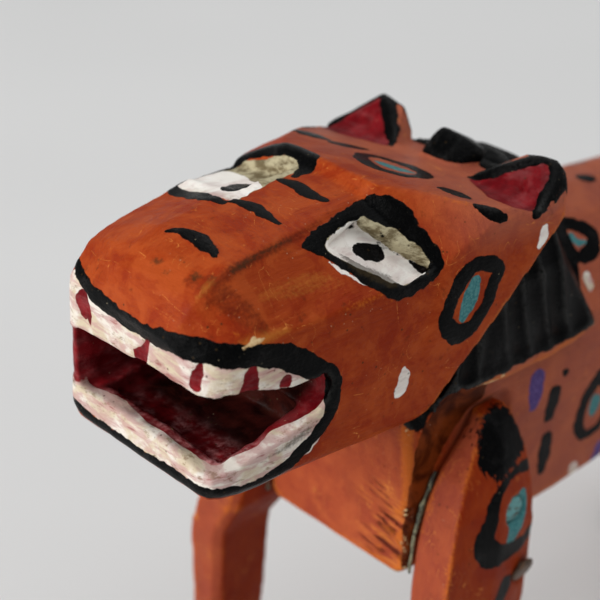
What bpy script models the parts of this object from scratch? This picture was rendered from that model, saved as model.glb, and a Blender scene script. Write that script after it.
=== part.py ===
"""A carved and painted wooden alebrije: a maned cat with an open mouth, nailed-on legs and a plug-in tail.

The animal stands on the floor plane and faces -Y, its left side is +X and up is +Z. The origin is on the
floor, midway between the nose and the end of the tail. The carving's tables are in millimetres, and MM
turns them to metres.
"""

import math

import bmesh
import bpy
from mathutils import Matrix, Vector

MM = 0.001
GAP = 0.3  # clearance between pieces that touch, mm

# Driving dimensions, mm
SEAT_X = 20.3  # flat flank that each leg is nailed to, from the middle plane
LEG_X = SEAT_X + GAP
CHEST_Y = -102.0
THROAT = (-104.0, 135.3)  # y, z of the lowest point of the joint between head and neck
NAPE = (-65.6, 174.6)  # y, z of the highest point of that joint
NECK_DOWEL_RADIUS = 5.0
NECK_DOWEL_LENGTH = 34.0
TAIL_SEAT = (0.0, 97.5, 142.5)
TAIL_RISE = math.radians(25.0)
TAIL_PEG_RADIUS = 4.0
TAIL_PEG_LENGTH = 30.0
NAIL_HEAD_RADIUS = 3.1
NAIL_HEAD_HEIGHT = 0.9
NAIL_SHANK_RADIUS = 1.0
NAIL_LENGTH = 30.0
SUNK_DEPTH = 1.5
BEAD_RADIUS = 0.55
BEAD_LOW = 96.5  # lowest point of a glue bead
TURN_STEPS = 14

ORANGE = (0.61, 0.115, 0.018)
DARK_ORANGE = (0.40, 0.06, 0.012)
RAW_WOOD = (0.62, 0.45, 0.27)
RUSTY_STEEL = (0.20, 0.12, 0.08)
GLUE = (0.22, 0.25, 0.20)

# Head, rings from nose to nape: y, bottom z, crown z, then for each side, left first, the x of the jaw, the
# cheek arris (x, z), the bridge arris (x, z) and how far the cheek arris lies behind the rest of the ring.
# The carver left the right side of the muzzle higher and squarer than the left.
HEAD_RINGS = (
    (-151.2, 137.4, 165.2, (17.4, 15.0, 160.6, 9.5, 164.6, 1.2), (20.2, 17.2, 163.0, 6.0, 164.8, 0.0)),
    (-150.2, 136.0, 169.0, (19.6, 18.0, 162.4, 11.4, 168.2, 2.4), (21.4, 19.8, 165.6, 6.2, 168.8, 0.0)),
    (-148.0, 135.4, 172.4, (20.4, 19.6, 163.8, 12.2, 171.4, 2.6), (21.8, 20.0, 167.8, 6.4, 172.0, 0.0)),
    (-144.6, 135.0, 175.4, (21.0, 20.6, 164.8, 12.5, 174.4, 1.6), (21.4, 20.8, 170.4, 6.4, 175.0, 0.0)),
    (-140.0, 134.9, 177.2, (21.5, 21.2, 165.3, 12.4, 176.2, 0.5), (21.5, 21.4, 171.6, 6.2, 177.0, 0.0)),
    (-132.0, 135.3, 178.0, (22.2, 22.0, 165.5, 12.0, 177.0, 0.0), (22.2, 22.0, 172.6, 5.9, 177.8, 0.0)),
    (-120.0, 135.3, 178.4, (23.5, 23.3, 165.9, 11.0, 177.4, 0.0), (23.5, 22.9, 174.4, 5.6, 178.1, 0.0)),
    (-107.0, 135.3, 178.8, (24.9, 24.5, 166.7, 9.8, 177.8, 6.0), (24.9, 24.2, 173.8, 6.0, 178.6, 0.0)),
    (-104.9, 135.3, 180.6, (25.1, 25.4, 168.5, 11.8, 180.2, 6.6), (25.1, 24.8, 174.2, 12.0, 180.2, 0.0)),
    (-99.0, 135.3, 179.2, (25.7, 26.0, 169.8, 17.0, 178.8, 3.4), (25.7, 25.8, 174.2, 19.0, 178.2, 0.0)),
    (-93.0, 135.3, 177.4, (26.4, 26.6, 171.4, 22.6, 176.9, 1.2), (26.4, 26.5, 173.6, 22.6, 176.7, 0.0)),
    (-88.6, 135.3, 176.0, (26.8, 27.0, 172.6, 25.6, 175.2, 0.0), (26.8, 27.0, 173.0, 25.6, 175.2, 0.0)),
    (-80.0, 135.3, 173.5, (27.8, 27.9, 171.3, 27.0, 172.8, 0.0), (27.8, 27.9, 171.3, 27.0, 172.8, 0.0)),
    (-72.0, 135.3, 171.8, (28.6, 28.7, 169.4, 27.4, 171.0, 0.0), (28.6, 28.7, 169.4, 27.4, 171.0, 0.0)),
    (-62.0, 135.3, 170.0, (29.4, 29.4, 167.0, 28.0, 169.0, 0.0), (29.4, 29.4, 167.0, 28.0, 169.0, 0.0)),
)
JAW_CHAMFER = 2.2

# Opening of the mouth seen from the side (y, z). It breaks out through the left cheek only.
MOUTH_OUTLINE = (
    (-156.0, 155.8),
    (-146.0, 156.6),
    (-140.0, 155.6),
    (-134.0, 154.1),
    (-129.6, 154.0),
    (-126.8, 154.8),
    (-125.2, 152.4),
    (-125.6, 149.6),
    (-129.0, 146.6),
    (-136.0, 144.4),
    (-144.0, 143.4),
    (-156.0, 143.4),
)
MOUTH_RIGHT_X = -17.6
MOUTH_LEFT_X = 32.0
MOUTH_FLOOR = ((-15.0, 17.2), (-146.6, -128.0), (141.0, 147.0))
MOUTH_ROOF = ((-15.0, 16.8), (-146.4, -127.0), (155.0, 160.4))

# Eyes: the normal of the facet each is cut in, then the corners of the cut with its depth at each.
LEFT_EYE_NORMAL = (0.63, 0.0, 0.776)
LEFT_EYE = (
    ((14.0, -119.4, 173.4), 0.8),
    ((12.4, -110.4, 175.2), 3.0),
    ((23.6, -101.4, 167.4), 3.2),
    ((23.8, -109.0, 165.8), 1.0),
)
RIGHT_EYE_NORMAL = (-0.22, 0.0, 0.975)
RIGHT_EYE = (
    ((-7.0, -121.6, 177.8), 0.5),
    ((-7.0, -108.2, 178.4), 2.6),
    ((-26.0, -107.4, 173.8), 1.4),
    ((-25.6, -119.6, 173.6), 0.2),
)
EYE_REACH = 5.0  # how far each eye's cutter stands proud of the facet

# Left ear, as (x, y, z): its front triangle, then its thick outer and rear side.
EAR_POINTS = (
    (9.6, -77.8, 170.6),
    (28.2, -79.8, 169.8),
    (28.4, -78.8, 172.4),
    (10.0, -77.2, 173.0),
    (17.6, -71.2, 176.8),
    (20.6, -69.6, 178.4),
    (23.2, -67.4, 177.6),
    (25.0, -67.2, 176.0),
    (26.4, -68.4, 174.2),
    (28.4, -74.8, 172.2),
    (28.6, -77.2, 170.0),
    (16.2, -68.4, 177.0),
    (13.2, -68.6, 171.8),
    (27.0, -69.0, 168.0),
    (20.0, -66.0, 166.0),
)
EAR_HOLLOW = (
    (11.8, -79.6, 174.0),
    (26.8, -80.8, 173.4),
    (20.6, -71.4, 177.6),
    (20.6, -73.4, 180.0),
    (20.2, -74.4, 172.9),
)

# Front lock of the mane, carved on the crown of the head between the ears.
FORELOCK = (
    (4.6, -77.4, 171.0),
    (-4.6, -77.4, 171.0),
    (2.6, -75.6, 174.6),
    (-3.4, -75.6, 174.6),
    (2.0, -71.4, 177.2),
    (-3.0, -71.2, 177.4),
    (5.4, -69.0, 174.6),
    (-6.4, -69.0, 174.8),
    (5.4, -62.0, 170.6),
    (-6.4, -62.0, 170.6),
    (0.0, -62.0, 172.0),
    (0.0, -70.0, 165.0),
)

# Body, rings from chest to rump: y, belly z, back z, belly x, flank x, shoulder x.
BODY_RINGS = (
    (CHEST_Y, 94.8, 151.0, 20.0, 20.2, 16.6),
    (-86.0, 95.0, 157.0, 20.6, 21.4, 17.6),
    (-62.0, 95.4, 160.6, 21.6, 22.4, 18.5),
    (-44.0, 96.0, 158.8, 21.8, 22.6, 18.2),
    (-24.0, 97.4, 155.4, 21.2, 22.2, 17.4),
    (-2.0, 99.2, 153.2, 20.0, 21.8, 16.8),
    (28.0, 100.0, 152.6, 19.6, 22.0, 16.8),
    (58.0, 97.5, 154.4, 20.8, 23.6, 17.4),
    (80.0, 99.5, 152.6, 19.6, 23.0, 16.4),
    (93.0, 106.0, 149.4, 15.6, 19.4, 13.4),
    (101.0, 115.0, 145.0, 10.0, 13.6, 9.4),
)

# Mane: its outline from the side (y, z) and from the front (x, z, left half, from the bottom to the crest).
MANE_SIDE = (
    (-108.0, 133.0),
    (-103.4, 134.6),
    (-96.6, 138.6),
    (-82.1, 136.4),
    (-67.9, 135.6),
    (-60.0, 136.2),
    (-50.0, 138.6),
    (-48.6, 150.0),
    (-49.4, 161.6),
    (-52.6, 165.0),
    (-56.4, 168.2),
    (-61.0, 170.2),
    (-66.0, 172.6),
    (-73.0, 173.0),
)
MANE_FRONT = (
    (25.4, 128.0),
    (26.0, 140.0),
    (26.2, 156.0),
    (24.0, 162.6),
    (18.6, 168.0),
    (11.0, 172.0),
    (6.0, 174.6),
    (2.0, 176.0),
)

# The mane tapers back to the crest: the plane through these points trims its left side, its mirror the right.
MANE_TRIM = ((24.0, -66.1, 162.6), (25.5, -54.0, 139.4), (0.0, -50.0, 163.4))

# Legs, from sole to top: z, front y, rear y, inner x, thickness. A left leg; the right ones are mirrored.
LEG_FRONT_LEFT = (
    (0.0, -112.0, -84.0, 27.0, 11.0),
    (5.0, -113.0, -83.5, 26.8, 11.4),
    (10.0, -108.0, -83.0, 26.2, 10.6),
    (18.0, -102.5, -83.0, 25.6, 9.4),
    (40.0, -102.4, -82.0, 24.4, 9.0),
    (68.0, -103.4, -79.0, 22.8, 10.0),
    (84.0, -103.0, -77.0, 21.6, 11.6),
    (95.0, -101.6, -76.2, LEG_X, 12.8),
    (104.0, -100.6, -75.8, LEG_X, 12.8),
    (112.0, -98.6, -75.8, LEG_X, 11.8),
    (118.5, -95.0, -76.0, LEG_X, 9.8),
    (123.5, -90.0, -76.8, LEG_X, 7.2),
    (127.0, -87.0, -77.6, LEG_X, 5.2),
    (128.8, -85.4, -78.6, LEG_X, 3.6),
)
LEG_FRONT_RIGHT = (
    (0.0, -120.0, -96.5, 29.0, 10.6),
    (5.0, -121.0, -96.5, 28.8, 11.0),
    (10.0, -116.5, -96.8, 28.6, 10.0),
    (18.0, -111.5, -97.6, 28.4, 9.0),
    (55.0, -112.2, -98.6, 27.2, 8.6),
    (86.0, -113.6, -97.8, 24.6, 9.4),
    (94.0, -112.4, -93.0, LEG_X, 12.0),
    (104.0, -108.6, -85.0, LEG_X, 12.4),
    (112.0, -105.6, -82.4, LEG_X, 11.6),
    (119.0, -101.0, -81.4, LEG_X, 9.8),
    (125.0, -95.6, -81.6, LEG_X, 7.0),
    (129.0, -91.0, -83.0, LEG_X, 3.8),
)
LEG_HIND_LEFT = (
    (0.0, 44.0, 71.0, 28.6, 11.0),
    (5.0, 43.0, 71.5, 28.4, 11.4),
    (10.0, 48.0, 71.5, 27.8, 10.6),
    (17.0, 55.0, 72.0, 27.2, 9.4),
    (32.0, 60.0, 77.0, 26.2, 9.2),
    (46.0, 60.5, 80.0, 25.2, 9.6),
    (60.0, 54.0, 77.0, 24.0, 10.6),
    (76.0, 47.5, 77.0, 22.8, 12.0),
    (94.0, 44.0, 79.0, LEG_X, 13.4),
    (108.0, 45.0, 79.0, LEG_X, 13.0),
    (119.0, 49.0, 76.0, LEG_X, 10.6),
    (127.0, 54.5, 71.0, LEG_X, 7.6),
    (132.0, 59.0, 66.5, LEG_X, 4.2),
)
HIND_STEP = 10.0  # the right hind leg is this far behind the left one

# Nails: height, y, rise of the nail into the wood (degrees), sunk below the surface or proud of it.
NAILS = {
    "front_left": ((108.6, -82.6, 0.0, True), (92.8, -79.4, 20.0, False)),
    "front_right": ((112.0, -92.6, 2.0, True), (101.5, -94.5, 6.0, False)),
    "hind_left": ((116.0, 62.0, 0.0, True), (102.0, 60.0, 8.0, False)),
    "hind_right": ((116.0, 72.0, 3.0, True), (102.5, 70.0, 6.0, False)),
}

# Tail, from its seat to its tip: y and z of the middle of each section, radius.
TAIL_PATH = (
    (102.8, 145.0, 7.9),
    (110.4, 148.8, 7.0),
    (119.0, 153.8, 6.3),
    (127.6, 160.0, 5.8),
    (134.8, 167.0, 5.4),
    (140.4, 175.0, 5.1),
    (144.0, 183.6, 5.1),
    (145.8, 192.0, 5.5),
    (145.4, 199.4, 5.2),
    (143.6, 204.6, 3.7),
    (142.2, 207.6, 1.7),
)
TAIL_SEAT_RADIUS = 8.4


def in_metres(x, y, z):
    return Vector((x * MM, y * MM, z * MM))


def finish(name, colour, roughness=0.5, metallic=0.0):
    """A Principled material of one colour."""
    material = bpy.data.materials.new(name)
    material.use_nodes = True
    shader = material.node_tree.nodes["Principled BSDF"]
    shader.inputs["Base Color"].default_value = (*colour, 1.0)
    shader.inputs["Roughness"].default_value = roughness
    shader.inputs["Metallic"].default_value = metallic
    material.diffuse_color = (*colour, 1.0)
    return material


def make_object(name, shape, collection, material=None):
    """An object from a bmesh, in the given collection; the bmesh is used up."""
    mesh = bpy.data.meshes.new(name)
    bmesh.ops.recalc_face_normals(shape, faces=shape.faces)
    shape.to_mesh(mesh)
    shape.free()
    made = bpy.data.objects.new(name, mesh)
    collection.objects.link(made)
    if material:
        mesh.materials.append(material)
    else:
        made.hide_render = True
        made.display_type = "WIRE"
    return made


def boolean(target, operation, other):
    """Cuts target by other, joins it to other, or keeps what they share."""
    step = target.modifiers.new(f"{operation.lower()}_{other.name}", "BOOLEAN")
    step.operation = operation
    step.object = other
    step.solver = "EXACT"


def loft(rings):
    """A skin through rings of equal length, with a face over each end."""
    shape = bmesh.new()
    skin = [[shape.verts.new(point) for point in ring] for ring in rings]
    count = len(skin[0])
    for lower, upper in zip(skin, skin[1:]):
        for i in range(count):
            j = (i + 1) % count
            shape.faces.new((lower[i], lower[j], upper[j], upper[i]))
    shape.faces.new(skin[0])
    shape.faces.new(skin[-1])
    bmesh.ops.triangulate(shape, faces=shape.faces)
    return shape


def hull(points):
    """The convex solid around some points given in millimetres."""
    shape = bmesh.new()
    corners = [shape.verts.new(in_metres(*point)) for point in points]
    found = bmesh.ops.convex_hull(shape, input=corners)
    bmesh.ops.delete(shape, geom=found["geom_interior"], context="VERTS")
    return shape


def box(spans):
    """A box between a low and a high value on each axis, in millimetres."""
    shape = bmesh.new()
    bmesh.ops.create_cube(shape, size=1.0)
    low = in_metres(*(span[0] for span in spans))
    high = in_metres(*(span[1] for span in spans))
    for vertex in shape.verts:
        vertex.co = Vector(
            low[i] if vertex.co[i] < 0 else high[i] for i in range(3)
        )
    return shape


def side_prism(outline, low_x, high_x):
    """An outline in the side view, (y, z) in millimetres, made solid from one x to another."""
    return loft([[in_metres(x, y, z) for y, z in outline] for x in (low_x, high_x)])


def front_prism(outline, low_y, high_y):
    """A half outline in the front view, (x, z), mirrored and made solid from one y to another."""
    whole = list(outline) + [(-x, z) for x, z in reversed(outline)]
    return loft([[in_metres(x, y, z) for x, z in whole] for y in (low_y, high_y)])


def turned(name, profile, collection, material=None):
    """A turned piece about Z: the profile (radius, z) runs down its outer side, top to bottom."""
    shape = bmesh.new()
    points = [shape.verts.new(in_metres(radius, 0.0, z)) for radius, z in profile]
    for above, below in zip(points, points[1:]):
        shape.edges.new((above, below))
    mesh = bpy.data.meshes.new(name)
    shape.to_mesh(mesh)
    shape.free()
    made = bpy.data.objects.new(name, mesh)
    collection.objects.link(made)
    screw = made.modifiers.new("turn", "SCREW")
    screw.axis = "Z"
    screw.angle = math.tau
    screw.steps = TURN_STEPS
    screw.render_steps = TURN_STEPS
    screw.use_merge_vertices = True
    screw.merge_threshold = 1e-6
    if material:
        mesh.materials.append(material)
    else:
        made.hide_render = True
        made.display_type = "WIRE"
    return made


def aim(thing, point, direction):
    """Puts an object's origin at a point in millimetres and turns its +Z along a direction."""
    thing.location = in_metres(*point)
    thing.rotation_mode = "QUATERNION"
    thing.rotation_quaternion = Vector(direction).to_track_quat("Z", "Y")


def mirrored(points):
    return [(-x, y, z) for x, y, z in points]


def flank_of_head(y, bottom, flank):
    """One half of a head ring, from the underside up to the bridge, as a left half."""
    jaw_x, cheek_x, cheek_z, arris_x, arris_z, lag = flank
    middle_z = bottom + 0.55 * (cheek_z - bottom)
    return [
        (jaw_x - JAW_CHAMFER, y, bottom),
        (jaw_x - 0.5, y, bottom + JAW_CHAMFER),
        (0.5 * (jaw_x + cheek_x) + 0.2, y + 0.3 * lag, middle_z),
        (cheek_x, y + lag, cheek_z),
        (0.5 * (cheek_x + arris_x), y + 0.5 * lag, 0.5 * (cheek_z + arris_z)),
        (arris_x, y, arris_z),
    ]


def head_rings():
    for y, bottom, crown, left, right in HEAD_RINGS:
        left_points = flank_of_head(y, bottom, left)
        right_points = mirrored(reversed(flank_of_head(y, bottom, right)))
        yield [in_metres(*point) for point in (*left_points, (0.0, y, crown), *right_points)]


def eye_cutter(normal, corners):
    """The carved recess of one eye: its floor dips below the facet, deepest under the brow."""
    outward = Vector(normal)
    points = []
    for place, depth in corners:
        points.append(Vector(place) - outward * depth)
        points.append(Vector(place) + outward * EYE_REACH)
    return hull(points)


def neck_frame():
    """A point and the outward normal, from neck towards head, of the plane where the head is glued on."""
    along = Vector((0.0, NAPE[0] - THROAT[0], NAPE[1] - THROAT[1])).normalized()
    normal = Vector((0.0, -along.z, along.y))
    middle = Vector((0.0, 0.5 * (NAPE[0] + THROAT[0]), 0.5 * (NAPE[1] + THROAT[1])))
    return middle, normal


def half_space(name, point, normal, collection):
    """A large cutter that fills everything on the side of a plane that its normal points to."""
    reach = 90.0
    made = make_object(name, box(((-reach, reach), (-reach, reach), (0.0, reach))), collection)
    aim(made, point, normal)
    return made


def build_head(parts, cutters):
    head = make_object("head", loft(list(head_rings())), parts, finish("head_paint", ORANGE, 0.42))
    for label, placed in (("left", list), ("right", mirrored)):
        boolean(head, "UNION", make_object(f"ear_{label}", hull(placed(EAR_POINTS)), cutters))
        hollow = make_object(f"ear_hollow_{label}", hull(placed(EAR_HOLLOW)), cutters)
        boolean(head, "DIFFERENCE", hollow)
    boolean(head, "UNION", make_object("forelock", hull(FORELOCK), cutters))
    eyes = (("left", LEFT_EYE_NORMAL, LEFT_EYE), ("right", RIGHT_EYE_NORMAL, RIGHT_EYE))
    for label, normal, corners in eyes:
        recess = make_object(f"eye_cut_{label}", eye_cutter(normal, corners), cutters)
        boolean(head, "DIFFERENCE", recess)
    mouth = make_object("mouth_cut", side_prism(MOUTH_OUTLINE, MOUTH_RIGHT_X, MOUTH_LEFT_X), cutters)
    boolean(head, "DIFFERENCE", mouth)
    boolean(head, "DIFFERENCE", make_object("mouth_floor_cut", box(MOUTH_FLOOR), cutters))
    boolean(head, "DIFFERENCE", make_object("mouth_roof_cut", box(MOUTH_ROOF), cutters))
    middle, normal = neck_frame()
    boolean(head, "DIFFERENCE", half_space("head_back_cut", middle, -normal, cutters))
    return head


def body_rings():
    for y, belly, back, belly_x, flank_x, shoulder_x in BODY_RINGS:
        tall = back - belly
        half = [
            (belly_x - 2.0, belly),
            (belly_x, belly + 2.0),
            (flank_x, belly + 0.42 * tall),
            (flank_x - 0.6, belly + 0.66 * tall),
            (shoulder_x, belly + 0.82 * tall),
            (0.62 * shoulder_x, belly + 0.94 * tall),
            (0.2 * shoulder_x, back),
        ]
        whole = half + [(-x, z) for x, z in reversed(half)]
        yield [in_metres(x, y, z) for x, z in whole]


def build_torso(parts, cutters):
    torso = make_object("torso", loft(list(body_rings())), parts, finish("torso_paint", ORANGE, 0.42))
    mane = make_object("mane_block", side_prism(MANE_SIDE, -30.0, 30.0), cutters)
    arch = make_object("mane_arch", front_prism(MANE_FRONT, -115.0, -40.0), cutters)
    boolean(mane, "INTERSECT", arch)
    for label, placed in (("left", list), ("right", mirrored)):
        high_side, low_side, crest = (Vector(point) for point in placed(MANE_TRIM))
        rearward = (low_side - high_side).cross(crest - high_side)
        if rearward.y < 0.0:
            rearward.negate()
        boolean(mane, "DIFFERENCE", half_space(f"mane_trim_{label}", crest, rearward, cutters))
    boolean(torso, "UNION", mane)
    middle, normal = neck_frame()
    neck_point = middle - normal * GAP
    boolean(torso, "DIFFERENCE", half_space("neck_cut", neck_point, normal, cutters))
    chest_cut = box(((-40.0, 40.0), (-125.0, CHEST_Y + 0.01), (60.0, 170.0)))
    boolean(torso, "DIFFERENCE", make_object("chest_cut", chest_cut, cutters))
    return torso


def seat_cutter(label, side, table, cutters):
    """Clears the flank outside the flat seat that a leg is nailed to."""
    upper = [row for row in table if row[0] > 90.0]
    low_y = min(row[1] for row in upper) - 1.2
    high_y = max(row[2] for row in upper) + 1.2
    top = upper[-1][0] + 0.8
    span_x = (SEAT_X, 45.0) if side > 0 else (-45.0, -SEAT_X)
    return make_object(f"seat_{label}", box((span_x, (low_y, high_y), (80.0, top))), cutters)


def leg_rings(side, table):
    """Six-sided sections: a narrow front face, two outer facets, a rear face and a flat inner face."""
    for z, front, rear, inner, thick in table:
        ridge = front + 0.5 * (rear - front)
        groove = min(1.9, 0.3 * thick)
        section = (
            (inner + groove, front),
            (inner, front + groove),
            (inner, rear),
            (inner + 0.84 * thick, rear),
            (inner + thick, ridge),
            (inner + 0.88 * thick, front - 0.06 * thick),
        )
        ring = [in_metres(side * x, y, z) for x, y in section]
        yield ring if side > 0 else ring[::-1]


def outer_x(table, z, y):
    """The x of a leg's outer surface at a height and depth, from its table."""
    for low, high in zip(table, table[1:]):
        if low[0] <= z <= high[0]:
            share = (z - low[0]) / (high[0] - low[0])
            front, rear, inner, thick = (low[i] + share * (high[i] - low[i]) for i in range(1, 5))
            break
    ridge = front + 0.5 * (rear - front)
    if y > ridge:
        drop = 0.16 * (y - ridge) / (rear - ridge)
    else:
        drop = 0.12 * (ridge - y) / (ridge - front)
    return inner + thick * (1.0 - drop)


def build_leg(label, side, table, torso, parts, cutters):
    paint = finish(f"leg_{label}_paint", DARK_ORANGE, 0.42)
    leg = make_object(f"leg_{label}", loft(list(leg_rings(side, table))), parts, paint)
    boolean(torso, "DIFFERENCE", seat_cutter(label, side, table, cutters))
    steel = finish(f"nail_{label}_steel", RUSTY_STEEL, 0.6, 0.8)
    for place, (z, y, rise, sunk) in zip(("upper", "lower"), NAILS[label]):
        slope = math.radians(rise)
        outward = Vector((side * math.cos(slope), 0.0, -math.sin(slope)))
        depth = SUNK_DEPTH if sunk else -0.2
        seat = Vector((side * outer_x(table, z, y), y, z)) - outward * depth
        nail = turned(f"nail_{label}_{place}", nail_profile(), parts, steel)
        aim(nail, seat, outward)
        nail.data.shade_smooth()
        nail.data.set_sharp_from_angle(angle=math.radians(40.0))
        hole = turned(f"hole_{label}_{place}", hole_profile(), cutters)
        aim(hole, seat, outward)
        boolean(leg, "DIFFERENCE", hole)
        boolean(torso, "DIFFERENCE", hole)
    return leg


def nail_profile():
    """A round wire nail, its head's underside at z = 0."""
    tip = 3.5
    return (
        (0.0, NAIL_HEAD_HEIGHT),
        (0.8 * NAIL_HEAD_RADIUS, NAIL_HEAD_HEIGHT),
        (NAIL_HEAD_RADIUS, 0.6 * NAIL_HEAD_HEIGHT),
        (NAIL_HEAD_RADIUS, 0.0),
        (NAIL_SHANK_RADIUS, 0.0),
        (NAIL_SHANK_RADIUS, tip - NAIL_LENGTH),
        (0.0, -NAIL_LENGTH),
    )


def hole_profile():
    """The nail's hole, with room for the head above its seat."""
    head_room = 7.0
    return (
        (0.0, head_room),
        (NAIL_HEAD_RADIUS + GAP, head_room),
        (NAIL_HEAD_RADIUS + GAP, -GAP),
        (NAIL_SHANK_RADIUS + GAP, -GAP),
        (NAIL_SHANK_RADIUS + GAP, -NAIL_LENGTH - GAP),
        (0.0, -NAIL_LENGTH - GAP),
    )


def glue_path(side, table):
    """Points up the seam: a leg's front groove, or the corner where a leg stands ahead of the chest."""
    step_off = GAP + BEAD_RADIUS
    if any(front < CHEST_Y - 2.0 for z, front, *_ in table if z > 100.0):
        corner = (side * (LEG_X - step_off), CHEST_Y - step_off)
        return [(*corner, z) for z in (BEAD_LOW, 107.0, 117.0)]
    rows = [row for row in table if row[0] > 90.0 and row[4] > 9.0]
    return [(side * (row[3] + BEAD_RADIUS), row[1] + 0.1, max(row[0], BEAD_LOW)) for row in rows]


def build_glue_bead(label, side, table, parts):
    """Hardened glue along the seam between a leg and the body."""
    curve = bpy.data.curves.new(f"glue_{label}", "CURVE")
    curve.dimensions = "3D"
    curve.bevel_depth = BEAD_RADIUS * MM
    curve.bevel_resolution = 1
    curve.use_fill_caps = True
    places = glue_path(side, table)
    path = curve.splines.new("POLY")
    path.points.add(len(places) - 1)
    for point, place in zip(path.points, places):
        point.co = (*in_metres(*place), 1.0)
    bead = bpy.data.objects.new(f"glue_{label}", curve)
    parts.objects.link(bead)
    curve.materials.append(finish(f"glue_{label}_finish", GLUE, 0.55))


def build_neck_dowel(head, torso, parts, cutters):
    middle, normal = neck_frame()
    half = 0.5 * NECK_DOWEL_LENGTH
    wood = finish("neck_dowel_wood", RAW_WOOD, 0.7)
    dowel = turned("neck_dowel", dowel_profile(NECK_DOWEL_RADIUS, -half, half), parts, wood)
    aim(dowel, middle, normal)
    hole_radius = NECK_DOWEL_RADIUS + GAP
    hole = turned("neck_dowel_hole", dowel_profile(hole_radius, -half - GAP, half + GAP, 0.0), cutters)
    aim(hole, middle, normal)
    boolean(head, "DIFFERENCE", hole)
    boolean(torso, "DIFFERENCE", hole)


def dowel_profile(radius, low, high, chamfer=0.8):
    """A round bar between two heights, its ends chamfered unless the chamfer is 0."""
    if chamfer:
        top = ((radius - chamfer, high), (radius, high - chamfer))
        foot = ((radius, low + chamfer), (radius - chamfer, low))
    else:
        top = ((radius, high),)
        foot = ((radius, low),)
    return ((0.0, high), *top, *foot, (0.0, low))


def tail_axis():
    return Vector((0.0, math.cos(TAIL_RISE), math.sin(TAIL_RISE)))


def tail_stations():
    """The tail's sections in its own frame: distance along the plug's axis, rise square to it, radius."""
    axis = tail_axis()
    yield GAP, 0.0, TAIL_SEAT_RADIUS
    for y, z, radius in TAIL_PATH:
        out, up = y - TAIL_SEAT[1], z - TAIL_SEAT[2]
        yield out * axis.y + up * axis.z, up * axis.y - out * axis.z, radius


def tail_rings():
    """Round sections square to the path of the tail, which bends up in the middle plane."""
    sides = 14
    stations = list(tail_stations())
    for i, (along, rise, radius) in enumerate(stations):
        before = stations[max(i - 1, 0)]
        after = stations[min(i + 1, len(stations) - 1)]
        lean = math.atan2(after[1] - before[1], after[0] - before[0]) if i else 0.0
        ring = []
        for step in range(sides):
            angle = math.tau * step / sides
            across = radius * math.cos(angle)
            up = radius * math.sin(angle)
            ring.append(Vector((across, rise + up * math.cos(lean), along - up * math.sin(lean))) * MM)
        yield ring


def build_tail(torso, parts, cutters):
    """The tail turns on a dry dowel plugged into the rump; its own frame has +Z along the dowel."""
    axis = tail_axis()
    pivot = bpy.data.objects.new("tail_pivot", None)
    parts.objects.link(pivot)
    pivot.location = in_metres(*TAIL_SEAT)
    up = Vector((0.0, -axis.z, axis.y))
    pivot.rotation_mode = "QUATERNION"
    pivot.rotation_quaternion = Matrix((Vector((-1.0, 0.0, 0.0)), up, axis)).transposed().to_quaternion()
    tail = make_object("tail", loft(list(tail_rings())), parts, finish("tail_paint", ORANGE, 0.42))
    tail.parent = pivot
    half = 0.5 * TAIL_PEG_LENGTH
    wood = finish("tail_peg_wood", RAW_WOOD, 0.7)
    peg = turned("tail_peg", dowel_profile(TAIL_PEG_RADIUS, -half, half), parts, wood)
    peg.parent = pivot
    hole_profile_of_peg = dowel_profile(TAIL_PEG_RADIUS + GAP, -half - GAP, half + GAP, 0.0)
    hole = turned("tail_peg_hole", hole_profile_of_peg, cutters)
    hole.parent = pivot
    seat = turned("tail_seat_cut", dowel_profile(13.0, 0.0, 25.0, 0.0), cutters)
    seat.parent = pivot
    boolean(torso, "DIFFERENCE", seat)
    boolean(torso, "DIFFERENCE", hole)
    boolean(tail, "DIFFERENCE", hole)


def shifted(table, step):
    return tuple((z, front + step, rear + step, inner, thick) for z, front, rear, inner, thick in table)


def build():
    for old in list(bpy.data.objects):
        bpy.data.objects.remove(old, do_unlink=True)
    parts = bpy.data.collections.new("alebrije")
    cutters = bpy.data.collections.new("cutters")
    cutters.hide_render = True
    for collection in (parts, cutters):
        bpy.context.scene.collection.children.link(collection)
    head = build_head(parts, cutters)
    torso = build_torso(parts, cutters)
    build_neck_dowel(head, torso, parts, cutters)
    legs = (
        ("front_left", 1, LEG_FRONT_LEFT),
        ("front_right", -1, LEG_FRONT_RIGHT),
        ("hind_left", 1, LEG_HIND_LEFT),
        ("hind_right", -1, shifted(LEG_HIND_LEFT, HIND_STEP)),
    )
    for label, side, table in legs:
        build_leg(label, side, table, torso, parts, cutters)
        build_glue_bead(label, side, table, parts)
    build_tail(torso, parts, cutters)


build()
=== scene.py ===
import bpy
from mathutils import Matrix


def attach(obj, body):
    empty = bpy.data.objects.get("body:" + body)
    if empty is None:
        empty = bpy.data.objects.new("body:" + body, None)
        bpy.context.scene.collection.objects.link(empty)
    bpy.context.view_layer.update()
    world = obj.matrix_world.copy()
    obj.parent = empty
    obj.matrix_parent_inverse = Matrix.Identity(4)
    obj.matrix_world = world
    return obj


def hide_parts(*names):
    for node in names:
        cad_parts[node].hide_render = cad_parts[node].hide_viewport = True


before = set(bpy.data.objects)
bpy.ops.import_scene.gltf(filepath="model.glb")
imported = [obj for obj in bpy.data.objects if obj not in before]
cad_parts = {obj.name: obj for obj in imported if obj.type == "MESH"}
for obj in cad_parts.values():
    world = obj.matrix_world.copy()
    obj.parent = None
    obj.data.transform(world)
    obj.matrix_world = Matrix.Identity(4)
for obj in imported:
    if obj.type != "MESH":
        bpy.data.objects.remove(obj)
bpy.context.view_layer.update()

# A carved, hand-painted wooden cat. Tables are in millimetres in the object's own frame: the nose points
# to -Y, the animal's left side is +X and up is +Z. Each wooden CAD node gets a finely divided copy that is
# softened, tooled and painted, and the copy stands for the node.

import itertools
import math

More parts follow.
